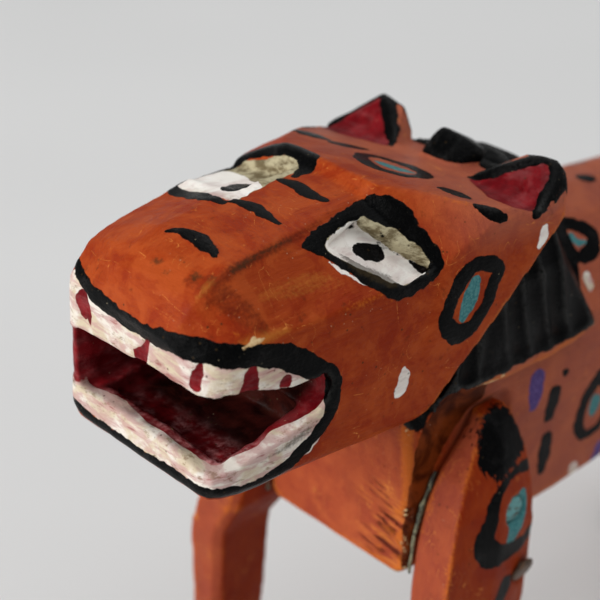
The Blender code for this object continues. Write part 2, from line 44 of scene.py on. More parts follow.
import bmesh
import bpy
import numpy as np
from mathutils import Matrix, Vector
from mathutils.bvhtree import BVHTree

MM = 0.001
FAR = 9.0  # paint distance, mm, that means no paint anywhere near
TORN_LEAN = math.radians(-10.0)  # the torn grain on the chest runs a little down towards the left side
LAYERS = ("purple", "tan", "white", "teal", "red", "black", "bare", "painted_shade", "filler", "rub_and_highlight", "grime_and_hollow_shade")


# ---------------------------------------------------------------- random fields

def scrambled(cells, seed):
    """A repeatable random number from 0 to 1 for each row of whole numbers."""
    mixed = cells[:, 0] * 73856093 ^ cells[:, 1] * 19349663 ^ cells[:, 2] * 83492791
    mixed = (mixed ^ (seed * 2654435761)) & 0xFFFFFFFF
    mixed = ((mixed ^ (mixed >> 13)) * 1274126177) & 0xFFFFFFFF
    mixed = ((mixed ^ (mixed >> 15)) * 2246822519) & 0xFFFFFFFF
    return (mixed ^ (mixed >> 16)) / 4294967295.0


def swell(points, scale, seed=1):
    """Smooth random heights from -1 to 1, with features of the given size in mm along each axis."""
    grid = points / np.array(scale, float)
    cells = np.floor(grid).astype(np.int64)
    part = grid - cells
    part = part * part * (3.0 - 2.0 * part)
    total = np.zeros(len(points))
    for corner in itertools.product((0, 1), repeat=3):
        weight = np.prod(np.where(corner, part, 1.0 - part), axis=1)
        total += weight * (2.0 * scrambled(cells + np.array(corner), seed) - 1.0)
    return total


def scallops(points, scale, seed=1):
    """Shallow gouge cuts side by side: 0 in the middle of a cut, about 0.4 on the ridge between two."""
    grid = points / np.array(scale, float)
    cells = np.floor(grid).astype(np.int64)
    best = np.full(len(points), 9.0)
    for offset in itertools.product((-1, 0, 1), repeat=3):
        cell = cells + np.array(offset)
        place = np.stack([scrambled(cell, seed + k) for k in range(3)], axis=1)
        best = np.minimum(best, ((grid - cell - place) ** 2).sum(axis=1))
    return best


def ease(value, low, high):
    """0 below low, 1 above high and smooth in between; low above high turns it round."""
    share = np.clip((value - low) / (high - low), 0.0, 1.0)
    return share * share * (3.0 - 2.0 * share)


def spline(points, closed=False, steps=7):
    """A Catmull-Rom curve through rows of numbers."""
    rows = np.array(points, float)
    if closed:
        rows = np.vstack([rows[-1:], rows, rows[:2]])
    else:
        rows = np.vstack([2 * rows[:1] - rows[1:2], rows, 2 * rows[-1:] - rows[-2:-1]])
    share = (np.arange(steps) / steps)[:, None]
    curve = []
    for a, b, c, d in zip(rows, rows[1:], rows[2:], rows[3:]):
        bend = (2 * a - 5 * b + 4 * c - d) * share**2 + (3 * b - a - 3 * c + d) * share**3
        curve.append(b + 0.5 * ((c - a) * share + bend))
    return np.vstack([*curve, rows[-2:-1]])


# ---------------------------------------------------------------- carved pieces

class Carving:
    """A finely divided copy of one CAD node, with the paint on it kept as distances to each paint's edge."""

    def __init__(self, node, voxel, soften=2):
        self.node = node
        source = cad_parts[node]
        shape = bmesh.new()
        shape.from_mesh(source.data)
        bmesh.ops.remove_doubles(shape, verts=shape.verts, dist=1e-6)
        rough = bpy.data.meshes.new(node + "_rough")
        shape.to_mesh(rough)
        shape.free()
        self.thing = bpy.data.objects.new(node + "_carving", rough)
        bpy.context.scene.collection.objects.link(self.thing)
        divide = self.thing.modifiers.new("divide", "REMESH")
        divide.mode = "VOXEL"
        divide.voxel_size = voxel * MM
        divide.use_smooth_shade = True
        graph = bpy.context.evaluated_depsgraph_get()
        fine = bpy.data.meshes.new_from_object(self.thing.evaluated_get(graph))
        self.thing.modifiers.clear()
        self.thing.data = fine
        self.mesh = fine
        self.edges = np.empty(len(fine.edges) * 2, np.int64)
        fine.edges.foreach_get("vertices", self.edges)
        self.edges = self.edges.reshape(-1, 2)
        points = np.empty(len(fine.vertices) * 3, np.float32)
        fine.vertices.foreach_get("co", points)
        self.points = points.reshape(-1, 3).astype(float) / MM
        self.soften(soften)
        self.layers = {name: np.full(len(self.points), FAR) for name in LAYERS}
        self.shares = {name: np.zeros(len(self.points)) for name in ("pale_paint_and_light", "frayed", "mouth_shade", "scuff", "tidy", "torn")}

    def averaged(self, rows):
        """Each point's value taken as the mean of its neighbours'."""
        count = len(self.points)
        a, b = self.edges[:, 0], self.edges[:, 1]
        shared = np.bincount(a, minlength=count) + np.bincount(b, minlength=count)
        columns = []
        for column in rows.T:
            total = np.bincount(a, column[b], count) + np.bincount(b, column[a], count)
            columns.append(total / np.maximum(shared, 1))
        return np.stack(columns, axis=1)

    def soften(self, times):
        for _ in range(times):
            self.points += 0.6 * (self.averaged(self.points) - self.points)
        self.settle()

    def settle(self):
        """Puts the points in the mesh, and reads the normals and the tree for finding the surface."""
        self.mesh.vertices.foreach_set("co", (self.points * MM).astype(np.float32).ravel())
        self.mesh.update()
        normals = np.empty(len(self.points) * 3, np.float32)
        self.mesh.vertices.foreach_get("normal", normals)
        self.normals = normals.reshape(-1, 3).astype(float)
        self.tree = BVHTree.FromObject(self.thing, bpy.context.evaluated_depsgraph_get())

    def push(self, heights):
        """Moves the surface out by heights in mm."""
        self.points += self.normals * heights[:, None]
        self.settle()

    def snapped(self, place):
        found = self.tree.find_nearest(Vector(place) * MM)
        return np.array(found[0]) / MM, np.array(found[1])

    def near(self, places, reach=FAR):
        low, high = places.min(axis=0) - reach, places.max(axis=0) + reach
        return np.nonzero(((self.points > low) & (self.points < high)).all(axis=1))[0]

    def lay(self, layer, which, distance):
        self.layers[layer][which] = np.minimum(self.layers[layer][which], distance)

    def lift(self, layer, which, distance):
        """Takes a paint away where distance is negative."""
        self.layers[layer][which] = np.maximum(self.layers[layer][which], -distance)

    def stroke(self, layer, points, closed=False, weight=1.0):
        """One brush stroke through rows of x, y, z and half width, laid on the surface."""
        curve = spline(points, closed)
        line = np.array([self.snapped(row[:3])[0] for row in curve])
        half = weight * np.maximum(curve[:, 3], 0.05)
        which = self.near(line)
        place = self.points[which]
        best = np.full(len(which), FAR)
        for start, end, r_start, r_end in zip(line, line[1:], half, half[1:]):
            along = end - start
            share = np.clip((place - start) @ along / max(along @ along, 1e-9), 0.0, 1.0)
            gap = np.linalg.norm(place - start - share[:, None] * along, axis=1)
            best = np.minimum(best, gap - r_start - share * (r_end - r_start))
        self.lay(layer, which, best)

    def wipe(self, layer, points):
        """Takes a paint away along a stroke."""
        kept = self.layers[layer].copy()
        self.layers[layer][:] = FAR
        self.stroke(layer, points)
        self.layers[layer] = np.maximum(kept, -self.layers[layer])

    def outline_distance(self, corners, depth, rounded):
        """Points near a closed outline, and their distance from its inside seen square to its plane."""
        ring = spline(corners, closed=True, steps=5) if rounded else np.array(corners, float)
        middle = ring.mean(axis=0)
        axes = np.linalg.svd(ring - middle)[2]
        flat = (ring - middle) @ axes.T
        which = self.near(ring)
        local = (self.points[which] - middle) @ axes.T
        inside = np.zeros(len(which), bool)
        best = np.full(len(which), FAR)
        for start, end in zip(flat[:, :2], np.roll(flat[:, :2], -1, axis=0)):
            along = end - start
            if along @ along < 1e-9:
                continue
            share = np.clip((local[:, :2] - start) @ along / (along @ along), 0.0, 1.0)
            gap = np.linalg.norm(local[:, :2] - start - share[:, None] * along, axis=1)
            best = np.minimum(best, gap)
            crosses = (start[1] > local[:, 1]) != (end[1] > local[:, 1])
            rise = along[1] if abs(along[1]) > 1e-9 else 1e-9
            at = start[0] + (local[:, 1] - start[1]) * along[0] / rise
            inside ^= crosses & (local[:, 0] < at)
        distance = np.where(inside, -best, best)
        return which, np.maximum(distance, np.abs(local[:, 2]) - depth)

    def patch(self, layer, corners, depth=3.0, rounded=True, grow=0.0):
        which, distance = self.outline_distance(corners, depth, rounded)
        self.lay(layer, which, distance - grow)

    def clear(self, layer, corners, depth=3.0, rounded=True):
        self.lift(layer, *self.outline_distance(corners, depth, rounded))

    def oval(self, layer, place, along, radii, seed, line=None, wobble=0.10):
        """A hand-drawn oval, filled, or drawn as a line of the given half width; along is its long way."""
        centre, normal = self.snapped(place)
        first = Vector(along) - Vector(normal) * Vector(along).dot(Vector(normal))
        first = np.array(first.normalized())
        second = np.cross(normal, first)
        which = self.near(centre[None, :], max(radii) * 1.5 + 3.0)
        local = self.points[which] - centre
        u, v = local @ first / radii[0], local @ second / radii[1]
        random = np.random.default_rng(seed)
        turn = np.arctan2(v, u)
        edge = np.ones(len(which))
        for k in (1, 2, 3, 4, 5):
            edge += wobble * random.uniform(-1, 1) / k**0.5 * np.cos(k * turn + random.uniform(0, math.tau))
        distance = (np.hypot(u, v) / edge - 1.0) * (0.5 * (radii[0] + radii[1]))
        if line is not None:
            width = line * (1.0 + 0.35 * np.cos(turn + random.uniform(0, math.tau)))
            distance = np.abs(distance) - width
        self.lay(layer, which, np.maximum(distance, np.abs(local @ normal) - 3.0))

    def rosette(self, place, along, radii, seed, line=1.2):
        """A black ring with a teal middle."""
        self.oval("black", place, along, radii, seed, line=line)
        inner = (radii[0] * 0.45, radii[1] * 0.40)
        self.oval("teal", place, along, inner, seed + 1)

    def finish(self, material, body):
        """Stores the paint, the worn edges and the hollows on the mesh, and puts the piece in the frame."""
        away = self.points.copy()
        for _ in range(9):
            away += 0.7 * (self.averaged(away) - away)
        bulge = ((self.points - away) * self.normals).sum(axis=1)
        bulge = self.averaged(bulge[:, None])[:, 0]
        stored = {**self.layers, **self.shares, "bulge": bulge}
        for name, values in stored.items():
            made = self.mesh.attributes.new(name, "FLOAT", "POINT")
            made.data.foreach_set("value", np.clip(values, -FAR, FAR).astype(np.float32))
        self.mesh.polygons.foreach_set("use_smooth", np.ones(len(self.mesh.polygons), bool))
        self.mesh.materials.clear()
        self.mesh.materials.append(material)
        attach(self.thing, body)
        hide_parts(self.node)


# ---------------------------------------------------------------- materials

def colour(red, green, blue):
    """Display values from 0 to 1 as the linear colour that the shaders use."""
    linear = [((c + 0.055) / 1.055) ** 2.4 if c > 0.04045 else c / 12.92 for c in (red, green, blue)]
    return (*linear, 1.0)


class Graph:
    """Shorthand for wiring up the nodes of one material."""

    def __init__(self, name):
        self.material = bpy.data.materials.new(name)
        self.material.use_nodes = True
        self.tree = self.material.node_tree
        self.tree.nodes.clear()
        where = self.node("TexCoord").outputs["Object"]
        self.place = self.stretched(where, (1000.0, 1000.0, 1000.0))

    def node(self, kind, inputs=None, **settings):
        made = self.tree.nodes.new("ShaderNode" + kind)
        for key, value in settings.items():
            setattr(made, key, value)
        for key, value in (inputs or {}).items():
            if isinstance(value, bpy.types.NodeSocket):
                self.tree.links.new(value, made.inputs[key])
            else:
                made.inputs[key].default_value = value
        return made

    def math(self, operation, a, b=0.0, clamp=False):
        return self.node("Math", {0: a, 1: b}, operation=operation, use_clamp=clamp).outputs[0]

    def add(self, *values):
        total = values[0]
        for value in values[1:]:
            total = self.math("ADD", total, value)
        return total

    def times(self, a, b):
        return self.math("MULTIPLY", a, b)

    def stretched(self, place, scales):
        return self.node("VectorMath", {0: place, 1: scales}, operation="MULTIPLY").outputs[0]

    def noise(self, scales, detail=3.0, rough=0.55, seed=0.0, bend=0.0, lean=0.0):
        """Cloudy values about 0.5; scales are features per mm along each axis, leant about Y."""
        turned = self.node("VectorRotate", {"Vector": self.place, "Angle": lean}, rotation_type="Y_AXIS")
        place = self.stretched(turned.outputs[0] if lean else self.place, scales)
        moved = self.node("VectorMath", {0: place, 1: (seed, seed * 1.7, seed * 0.6)}, operation="ADD")
        inputs = {"Vector": moved.outputs[0], "Scale": 1.0, "Detail": detail, "Roughness": rough}
        inputs["Distortion"] = bend
        return self.node("TexNoise", inputs).outputs[0]

    def spots(self, scale, size, seed=0.0):
        """Small scattered spots, 1 in the middle of each; scale is how many per mm."""
        place = self.stretched(self.place, (scale, scale, scale))
        moved = self.node("VectorMath", {0: place, 1: (seed, seed, seed)}, operation="ADD")
        cells = self.node("TexVoronoi", {"Vector": moved.outputs[0], "Scale": 1.0})
        return self.soft(cells.outputs["Distance"], size, 0.4 * size)

    def soft(self, value, low, high):
        """0 at low, 1 at high and smooth in between."""
        inputs = {"Value": value, "From Min": low, "From Max": high}
        return self.node("MapRange", inputs, interpolation_type="SMOOTHSTEP").outputs[0]

    def blend(self, share, under, over):
        made = self.node("Mix", {0: share, 6: under, 7: over}, data_type="RGBA")
        return made.outputs[2]

    def level(self, share, under, over):
        made = self.node("Mix", {0: share, 2: under, 3: over}, data_type="FLOAT")
        return made.outputs[0]

    def attribute(self, name):
        return self.node("Attribute", attribute_name=name).outputs["Fac"]

    def shaded(self, base, roughness, height, metallic=0.0, gleam=0.4):
        """Ends the material; height is in mm and gleam is how strongly the surface reflects."""
        bump = self.node("Bump", {"Height": height, "Distance": MM, "Strength": 1.0})
        inputs = {"Base Color": base, "Roughness": roughness, "Normal": bump.outputs[0]}
        inputs["Metallic"] = metallic
        inputs["Specular IOR Level"] = gleam
        shader = self.node("BsdfPrincipled", inputs)
        self.node("OutputMaterial", {"Surface": shader.outputs[0]})
        return self.material


def painted(name, brush, cross=None, seed=0.0, deep=0.0):
    """Brushed orange under hand-painted marks, rubbed to bare wood on the edges, with painted shade and highlights
    added in places.

    brush holds the strokes per mm along each axis, so the small number is the way that the brush went.
    deep is the share of a darker red-brown coat; on the legs it is partly painted shade.
    """
    g = Graph(name)
    strokes = g.noise(brush, 6.0, 0.66, seed)
    if cross:
        other = g.noise(cross, 6.0, 0.66, seed + 7.0)
        where = g.soft(g.noise((0.07, 0.07, 0.07), 2.0, 0.5, seed + 3.0), 0.42, 0.58)
        strokes = g.level(where, strokes, other)
    broad = g.noise(tuple(0.22 * b for b in brush), 4.0, 0.6, seed + 11.0)
    cloud = g.noise((0.055, 0.055, 0.055), 3.0, 0.55, seed + 5.0)
    grit = g.noise((1.7, 1.7, 1.7), 4.0, 0.6, seed + 2.0)
    bulge = g.attribute("bulge")

    patchy = g.noise((0.13, 0.13, 0.13), 5.0, 0.62, seed + 21.0, 0.6)
    base = g.blend(g.soft(strokes, 0.25, 0.75), colour(0.560, 0.195, 0.060), colour(0.640, 0.258, 0.100))
    base = g.blend(g.times(g.soft(patchy, 0.50, 0.60), 0.55), base, colour(0.675, 0.300, 0.125))
    base = g.blend(g.times(g.soft(patchy, 0.47, 0.38), 0.55), base, colour(0.520, 0.135, 0.040))
    base = g.blend(g.times(g.soft(cloud, 0.52, 0.66), 0.50), base, colour(0.49, 0.125, 0.042))
    # A darker red-brown coat, partly painted shade where it darkens the legs.
    darker_coat_and_shade = g.times(g.math("SUBTRACT", 1.0, g.attribute("pale_paint_and_light")), deep)
    base = g.blend(darker_coat_and_shade, base, colour(0.47, 0.125, 0.015))
    # Paler, pinker tone: duller paint on the body and crown, painted light on the legs' forward facets.
    base = g.blend(g.times(g.attribute("pale_paint_and_light"), 0.24), base, colour(0.72, 0.53, 0.46))
    # Lighter brush streaks: partly paint, partly painted sheen for the satin highlights on the strokes.
    streak_and_sheen = g.times(g.soft(strokes, 0.63, 0.74), g.soft(grit, 0.42, 0.60))
    base = g.blend(g.times(streak_and_sheen, 0.45), base, colour(0.80, 0.48, 0.20))
    scores = 0.0
    for number, scales in enumerate(((0.55, 0.06, 0.30), (0.06, 0.50, 0.30), (0.40, 0.35, 0.06))):
        line = g.math("ABSOLUTE", g.add(g.noise(scales, 0.0, 0.5, seed + 31.0 + 5.0 * number), -0.5))
        kept = g.soft(g.noise((0.11, 0.11, 0.11), 3.0, 0.6, seed + 50.0 + 3.0 * number), 0.56, 0.62)
        scores = g.math("MAXIMUM", scores, g.times(g.soft(line, 0.009, 0.003), kept))
    scores = g.times(scores, g.soft(grit, 0.42, 0.54))
    base = g.blend(g.times(scores, 0.80), base, colour(0.84, 0.52, 0.25))
    dirt = g.times(g.soft(g.noise((0.30, 0.30, 0.30), 5.0, 0.7, seed + 9.0), 0.60, 0.74), 0.5)
    base = g.blend(dirt, base, colour(0.30, 0.12, 0.04))
    broken = g.add(g.times(g.add(broad, -0.5), 3.0), g.times(g.add(grit, -0.5), 2.0))
    split = g.noise((0.13, 0.4, 0.95), 3.0, 0.5, seed + 14.0, lean=TORN_LEAN)
    torn = g.attribute("torn")
    cracks = g.times(g.soft(split, 0.44, 0.38), torn)
    base = g.blend(g.times(g.times(g.soft(split, 0.50, 0.58), torn), 0.50), base, colour(0.84, 0.50, 0.22))
    base = g.blend(g.times(cracks, 0.80), base, colour(0.24, 0.075, 0.025))
    # Painted shade: the strokes of this layer turn the orange red-brown where the snout's facets and arrises fall into
    # shade.
    painted_shade = g.soft(g.add(g.attribute("painted_shade"), broken), 0.7, -1.0)
    base = g.blend(g.times(painted_shade, 0.70), base, colour(0.31, 0.075, 0.025))

    rubbed = g.add(g.times(bulge, 1.9), g.times(g.add(cloud, -0.5), 1.2), g.times(g.add(grit, -0.5), 0.9))
    base = g.blend(g.times(g.soft(rubbed, 0.24, 0.62), 0.65), base, colour(0.76, 0.40, 0.13))
    # Paler orange along the arrises: partly rubbed paint, partly painted highlight.
    faded_and_highlight = g.soft(g.add(g.attribute("rub_and_highlight"), g.times(broken, 1.2)), 0.9, -1.4)
    base = g.blend(g.times(faded_and_highlight, 0.50), base, colour(0.78, 0.50, 0.20))

    wobble = g.times(g.add(g.noise((0.45, 0.45, 0.45), 2.0, 0.45, seed + 4.0), -0.5), 1.4)
    fray = g.times(g.add(strokes, -0.5), g.level(g.attribute("frayed"), 0.40, 5.0))
    grain = g.times(g.add(grit, -0.5), 0.25)
    edge = g.add(wobble, fray, grain)

    def mask(layer, soft=0.10):
        return g.soft(g.add(g.attribute(layer), edge), soft, -soft)

    smear = g.noise((0.14, 0.14, 0.55), 5.0, 0.62, seed + 6.0, 0.4)
    soil = g.noise((0.30, 0.30, 0.70), 6.0, 0.72, seed + 8.0)
    worn_black = g.times(g.soft(patchy, 0.52, 0.66), g.soft(grit, 0.30, 0.60))
    black_tone = g.blend(g.soft(grit, 0.50, 0.80), colour(0.014, 0.015, 0.017), colour(0.060, 0.060, 0.058))
    black_tone = g.blend(g.times(worn_black, 0.35), black_tone, colour(0.17, 0.165, 0.165))
    # Dust and painted sheen: black paint turns grey on its ridges and raised places, such as the mane's locks.
    dust_and_ridge_sheen = g.times(g.soft(bulge, 0.08, 0.40), g.soft(grit, 0.30, 0.55))
    black_tone = g.blend(g.times(dust_and_ridge_sheen, 0.55), black_tone, colour(0.25, 0.25, 0.245))
    dirty = g.level(g.attribute("tidy"), 1.0, 0.30)
    white_tone = g.blend(g.soft(patchy, 0.42, 0.58), colour(0.87, 0.84, 0.80), colour(0.80, 0.74, 0.64))
    white_tone = g.blend(g.times(g.attribute("tidy"), 0.85), white_tone, colour(0.97, 0.955, 0.93))
    pinkish = g.times(g.times(g.soft(smear, 0.44, 0.56), 0.75), dirty)
    white_tone = g.blend(pinkish, white_tone, colour(0.74, 0.585, 0.57))
    ruddy = g.times(g.times(g.soft(smear, 0.60, 0.68), 0.65), dirty)
    white_tone = g.blend(ruddy, white_tone, colour(0.56, 0.25, 0.25))
    soiled = g.times(g.times(g.soft(soil, 0.56, 0.66), 0.65), dirty)
    white_tone = g.blend(soiled, white_tone, colour(0.48, 0.36, 0.25))
    tan_tone = g.blend(g.soft(soil, 0.38, 0.60), colour(0.42, 0.37, 0.27), colour(0.70, 0.66, 0.54))
    teal_tone = g.blend(g.soft(grit, 0.35, 0.68), colour(0.20, 0.42, 0.44), colour(0.34, 0.55, 0.55))
    red_tone = g.blend(g.soft(broad, 0.35, 0.66), colour(0.37, 0.030, 0.060), colour(0.50, 0.09, 0.115))
    scuffed = g.times(g.soft(smear, 0.40, 0.62), g.soft(soil, 0.36, 0.62))
    scuffed = g.times(scuffed, g.level(g.attribute("scuff"), 0.10, 0.90))
    red_tone = g.blend(scuffed, red_tone, colour(0.82, 0.56, 0.56))
    # Painted shade: the crimson turns brown-black deep inside the mouth.
    mouth_shade_tone = g.blend(g.soft(patchy, 0.42, 0.60), colour(0.075, 0.028, 0.022), colour(0.20, 0.075, 0.055))
    red_tone = g.blend(g.times(g.attribute("mouth_shade"), 0.97), red_tone, mouth_shade_tone)
    purple_tone = g.blend(g.soft(grit, 0.35, 0.68), colour(0.28, 0.20, 0.42), colour(0.40, 0.33, 0.54))
    filler_tone = g.blend(g.soft(patchy, 0.40, 0.62), colour(0.25, 0.095, 0.03), colour(0.47, 0.21, 0.08))
    wood_tone = g.blend(g.soft(strokes, 0.35, 0.65), colour(0.70, 0.55, 0.36), colour(0.87, 0.76, 0.58))

    thickness = 0.0
    rough = g.level(g.soft(strokes, 0.3, 0.7), 0.34, 0.50)
    tones = (
        ("filler", filler_tone, 0.20),
        ("purple", purple_tone, 0.50),
        ("tan", tan_tone, 0.60),
        ("white", white_tone, 0.45),
        ("teal", teal_tone, 0.45),
        ("red", red_tone, 0.33),
        ("black", black_tone, 0.27),
        ("bare", wood_tone, 0.65),
    )
    for layer, tone, gloss in tones:
        share = mask(layer)
        base = g.blend(share, base, tone)
        rough = g.level(share, rough, gloss)
        if layer != "bare":
            thickness = g.math("MAXIMUM", thickness, share)

    grime_spot = g.soft(g.add(g.attribute("grime_and_hollow_shade"), broken), 0.5, -0.7)
    base = g.blend(g.times(grime_spot, 0.70), base, colour(0.20, 0.16, 0.09))
    chip = g.add(g.times(bulge, 1.9), g.times(g.add(cloud, -0.5), 1.3), g.times(g.add(grit, -0.5), 2.2))
    chipped = g.times(g.soft(chip, 1.00, 1.12), g.soft(mask("black"), 1.0, 0.4))
    base = g.blend(chipped, base, wood_tone)
    # Dirt and painted shade in the hollows: concave places are darkened towards dark brown, less so on the eyes'
    # whites.
    grime_and_hollow_shade = g.soft(g.add(g.times(bulge, -1.0), g.times(g.add(grit, -0.5), 0.25)), 0.12, 0.50)
    grime_and_hollow_shade = g.times(grime_and_hollow_shade, g.level(g.times(g.attribute("tidy"), mask("white")), 0.62, 0.15))
    base = g.blend(grime_and_hollow_shade, base, colour(0.13, 0.065, 0.035))
    specks = g.times(g.spots(0.42, 0.13, seed), g.soft(cloud, 0.44, 0.56))
    base = g.blend(g.times(specks, 0.75), base, colour(0.20, 0.15, 0.08))
    dust = g.times(g.spots(0.60, 0.10, seed + 3.3), g.soft(broad, 0.50, 0.60))
    base = g.blend(g.times(dust, 0.40), base, colour(0.82, 0.76, 0.62))

    height = g.add(
        g.times(strokes, 0.20),
        g.times(grit, 0.05),
        g.times(thickness, 0.10),
        g.times(chipped, -0.12),
        g.times(cracks, -0.7),
    )
    return g.shaded(base, rough, height, gleam=g.level(mask("black"), 0.05, 0.045))


def raw_wood(name, grain):
    """Bare turned wood with long grain."""
    g = Graph(name)
    fibres = g.noise(grain, 6.0, 0.65)
    blotch = g.noise((0.12, 0.12, 0.12), 3.0, 0.5, 4.0)
    base = g.blend(g.soft(fibres, 0.32, 0.68), colour(0.66, 0.50, 0.31), colour(0.86, 0.74, 0.54))
    base = g.blend(g.times(g.soft(blotch, 0.5, 0.7), 0.4), base, colour(0.58, 0.42, 0.26))
    return g.shaded(base, 0.62, g.times(fibres, 0.10))


def old_steel(name, paint=None):
    """Browned nail steel, with worn paint on the heads that were painted over."""
    g = Graph(name)
    mottle = g.noise((0.9, 0.9, 0.9), 5.0, 0.65)
    fine = g.noise((3.5, 3.5, 3.5), 4.0, 0.6, 3.0)
    base = g.blend(g.soft(mottle, 0.38, 0.64), colour(0.30, 0.26, 0.23), colour(0.42, 0.29, 0.19))
    metal = g.level(g.soft(mottle, 0.40, 0.60), 0.75, 0.25)
    rough = g.level(g.soft(fine, 0.35, 0.65), 0.38, 0.62)
    if paint:
        kept = g.soft(g.add(mottle, g.times(g.add(fine, -0.5), 0.5)), 0.42, 0.46)
        base = g.blend(kept, base, paint)
        metal = g.level(kept, metal, 0.0)
    return g.shaded(base, rough, g.times(g.add(mottle, fine), 0.08), metallic=metal)


def dried_glue(name):
    """Greyed, dusty glue squeezed out of a joint, with painted shadow of the seam in dark patches between its lumps."""
    g = Graph(name)
    mottle = g.noise((1.1, 1.1, 1.1), 4.0, 0.6)
    base = g.blend(g.soft(mottle, 0.36, 0.64), colour(0.22, 0.23, 0.18), colour(0.50, 0.49, 0.38))
    # Painted shadow: dark patches stand for the shaded seam showing between the lumps of the bead.
    gaps = g.soft(g.noise((0.30, 0.30, 0.30), 3.0, 0.6, 5.0), 0.50, 0.56)
    base = g.blend(g.times(gaps, 0.85), base, colour(0.10, 0.055, 0.03))
    return g.shaded(base, 0.42, g.times(mottle, 0.20))


def studio_floor(name):
    """Pale matt board."""
    g = Graph(name)
    cloud = g.noise((0.004, 0.004, 0.004), 2.0, 0.5)
    base = g.blend(g.soft(cloud, 0.3, 0.7), colour(0.838, 0.838, 0.836), colour(0.850, 0.850, 0.848))
    return g.shaded(base, 0.9, g.times(g.noise((0.9, 0.9, 0.9), 2.0), 0.02))


# ---------------------------------------------------------------- head

def mirrored(rows):
    return [(-row[0], *row[1:]) for row in rows]


UPPER_LIP = (  # distance round the muzzle from the middle of the face, height
    (-24.0, 163.0), (-18.4, 167.2), (-14.9, 166.2), (-11.2, 165.2), (-6.3, 164.7), (-1.8, 164.1), (3.0, 164.0),
    (8.1, 164.7), (11.7, 165.1), (14.9, 165.0), (19.5, 164.3), (23.0, 163.8), (26.6, 163.2), (30.1, 162.6),
    (33.9, 161.4), (37.5, 159.2), (40.6, 156.7), (44.1, 154.0), (46.0, 150.0),
)
LOWER_LIP = (
    (-24.0, 147.0), (-20.0, 140.2), (-12.0, 138.8), (0.0, 138.6), (15.1, 138.9), (18.5, 138.8), (20.4, 138.3),
    (24.1, 137.4), (28.3, 136.6), (32.6, 137.6), (35.9, 139.1), (38.9, 140.7), (42.0, 142.7), (44.1, 144.6),
    (46.0, 148.0),
)


def paint_mouth(head):
    """White lips and teeth between the black lip lines, crimson inside."""
    x, y, z = head.points.T
    which = np.nonzero((y < -122.0) & (z > 134.0) & (z < 169.0))[0]
    hull = bmesh.new()
    muzzle = [v.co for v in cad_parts["head"].data.vertices if v.co.y < -0.110]
    corners = [hull.verts.new(co) for co in muzzle]
    found = bmesh.ops.convex_hull(hull, input=corners)
    bmesh.ops.delete(hull, geom=found["geom_interior"], context="VERTS")
    tree = BVHTree.FromBMesh(hull)
    inset = np.array([tree.find_nearest(Vector(p) * MM)[3] / MM for p in head.points[which]])
    hull.free()
    x, y, z = head.points[which].T
    round_way = np.where(x > 0, x + np.maximum(y + 149.0, 0.0), x - np.maximum(y + 149.0, 0.0))
    upper = np.interp(round_way, *np.array(UPPER_LIP).T)
    lower = np.interp(round_way, *np.array(LOWER_LIP).T)
    outside = np.maximum(z - upper, lower - z)
    outside = np.maximum(outside, np.maximum(round_way - 45.6, -23.0 - round_way))
    head.lay("white", which, np.maximum(outside, inset - 5.5))
    low = ease(z, 148.0, 145.5)
    ledge = 1.1 + 1.5 * low * ease(y, -128.0, -134.0)
    ledge += 1.1 * swell(head.points[which], (4.0, 4.0, 4.0), 5) * low
    head.lay("red", which, np.maximum(2.5 * (ledge - inset), np.maximum(y + 121.0, z - 162.0)))
    wall = np.maximum(np.maximum(x + 16.6, y + 147.5), np.abs(z - 150.0) - 5.4)
    head.lay("red", which, wall + 0.5 * swell(head.points[which], (3.0, 3.0, 3.0), 9))
    return which, inset


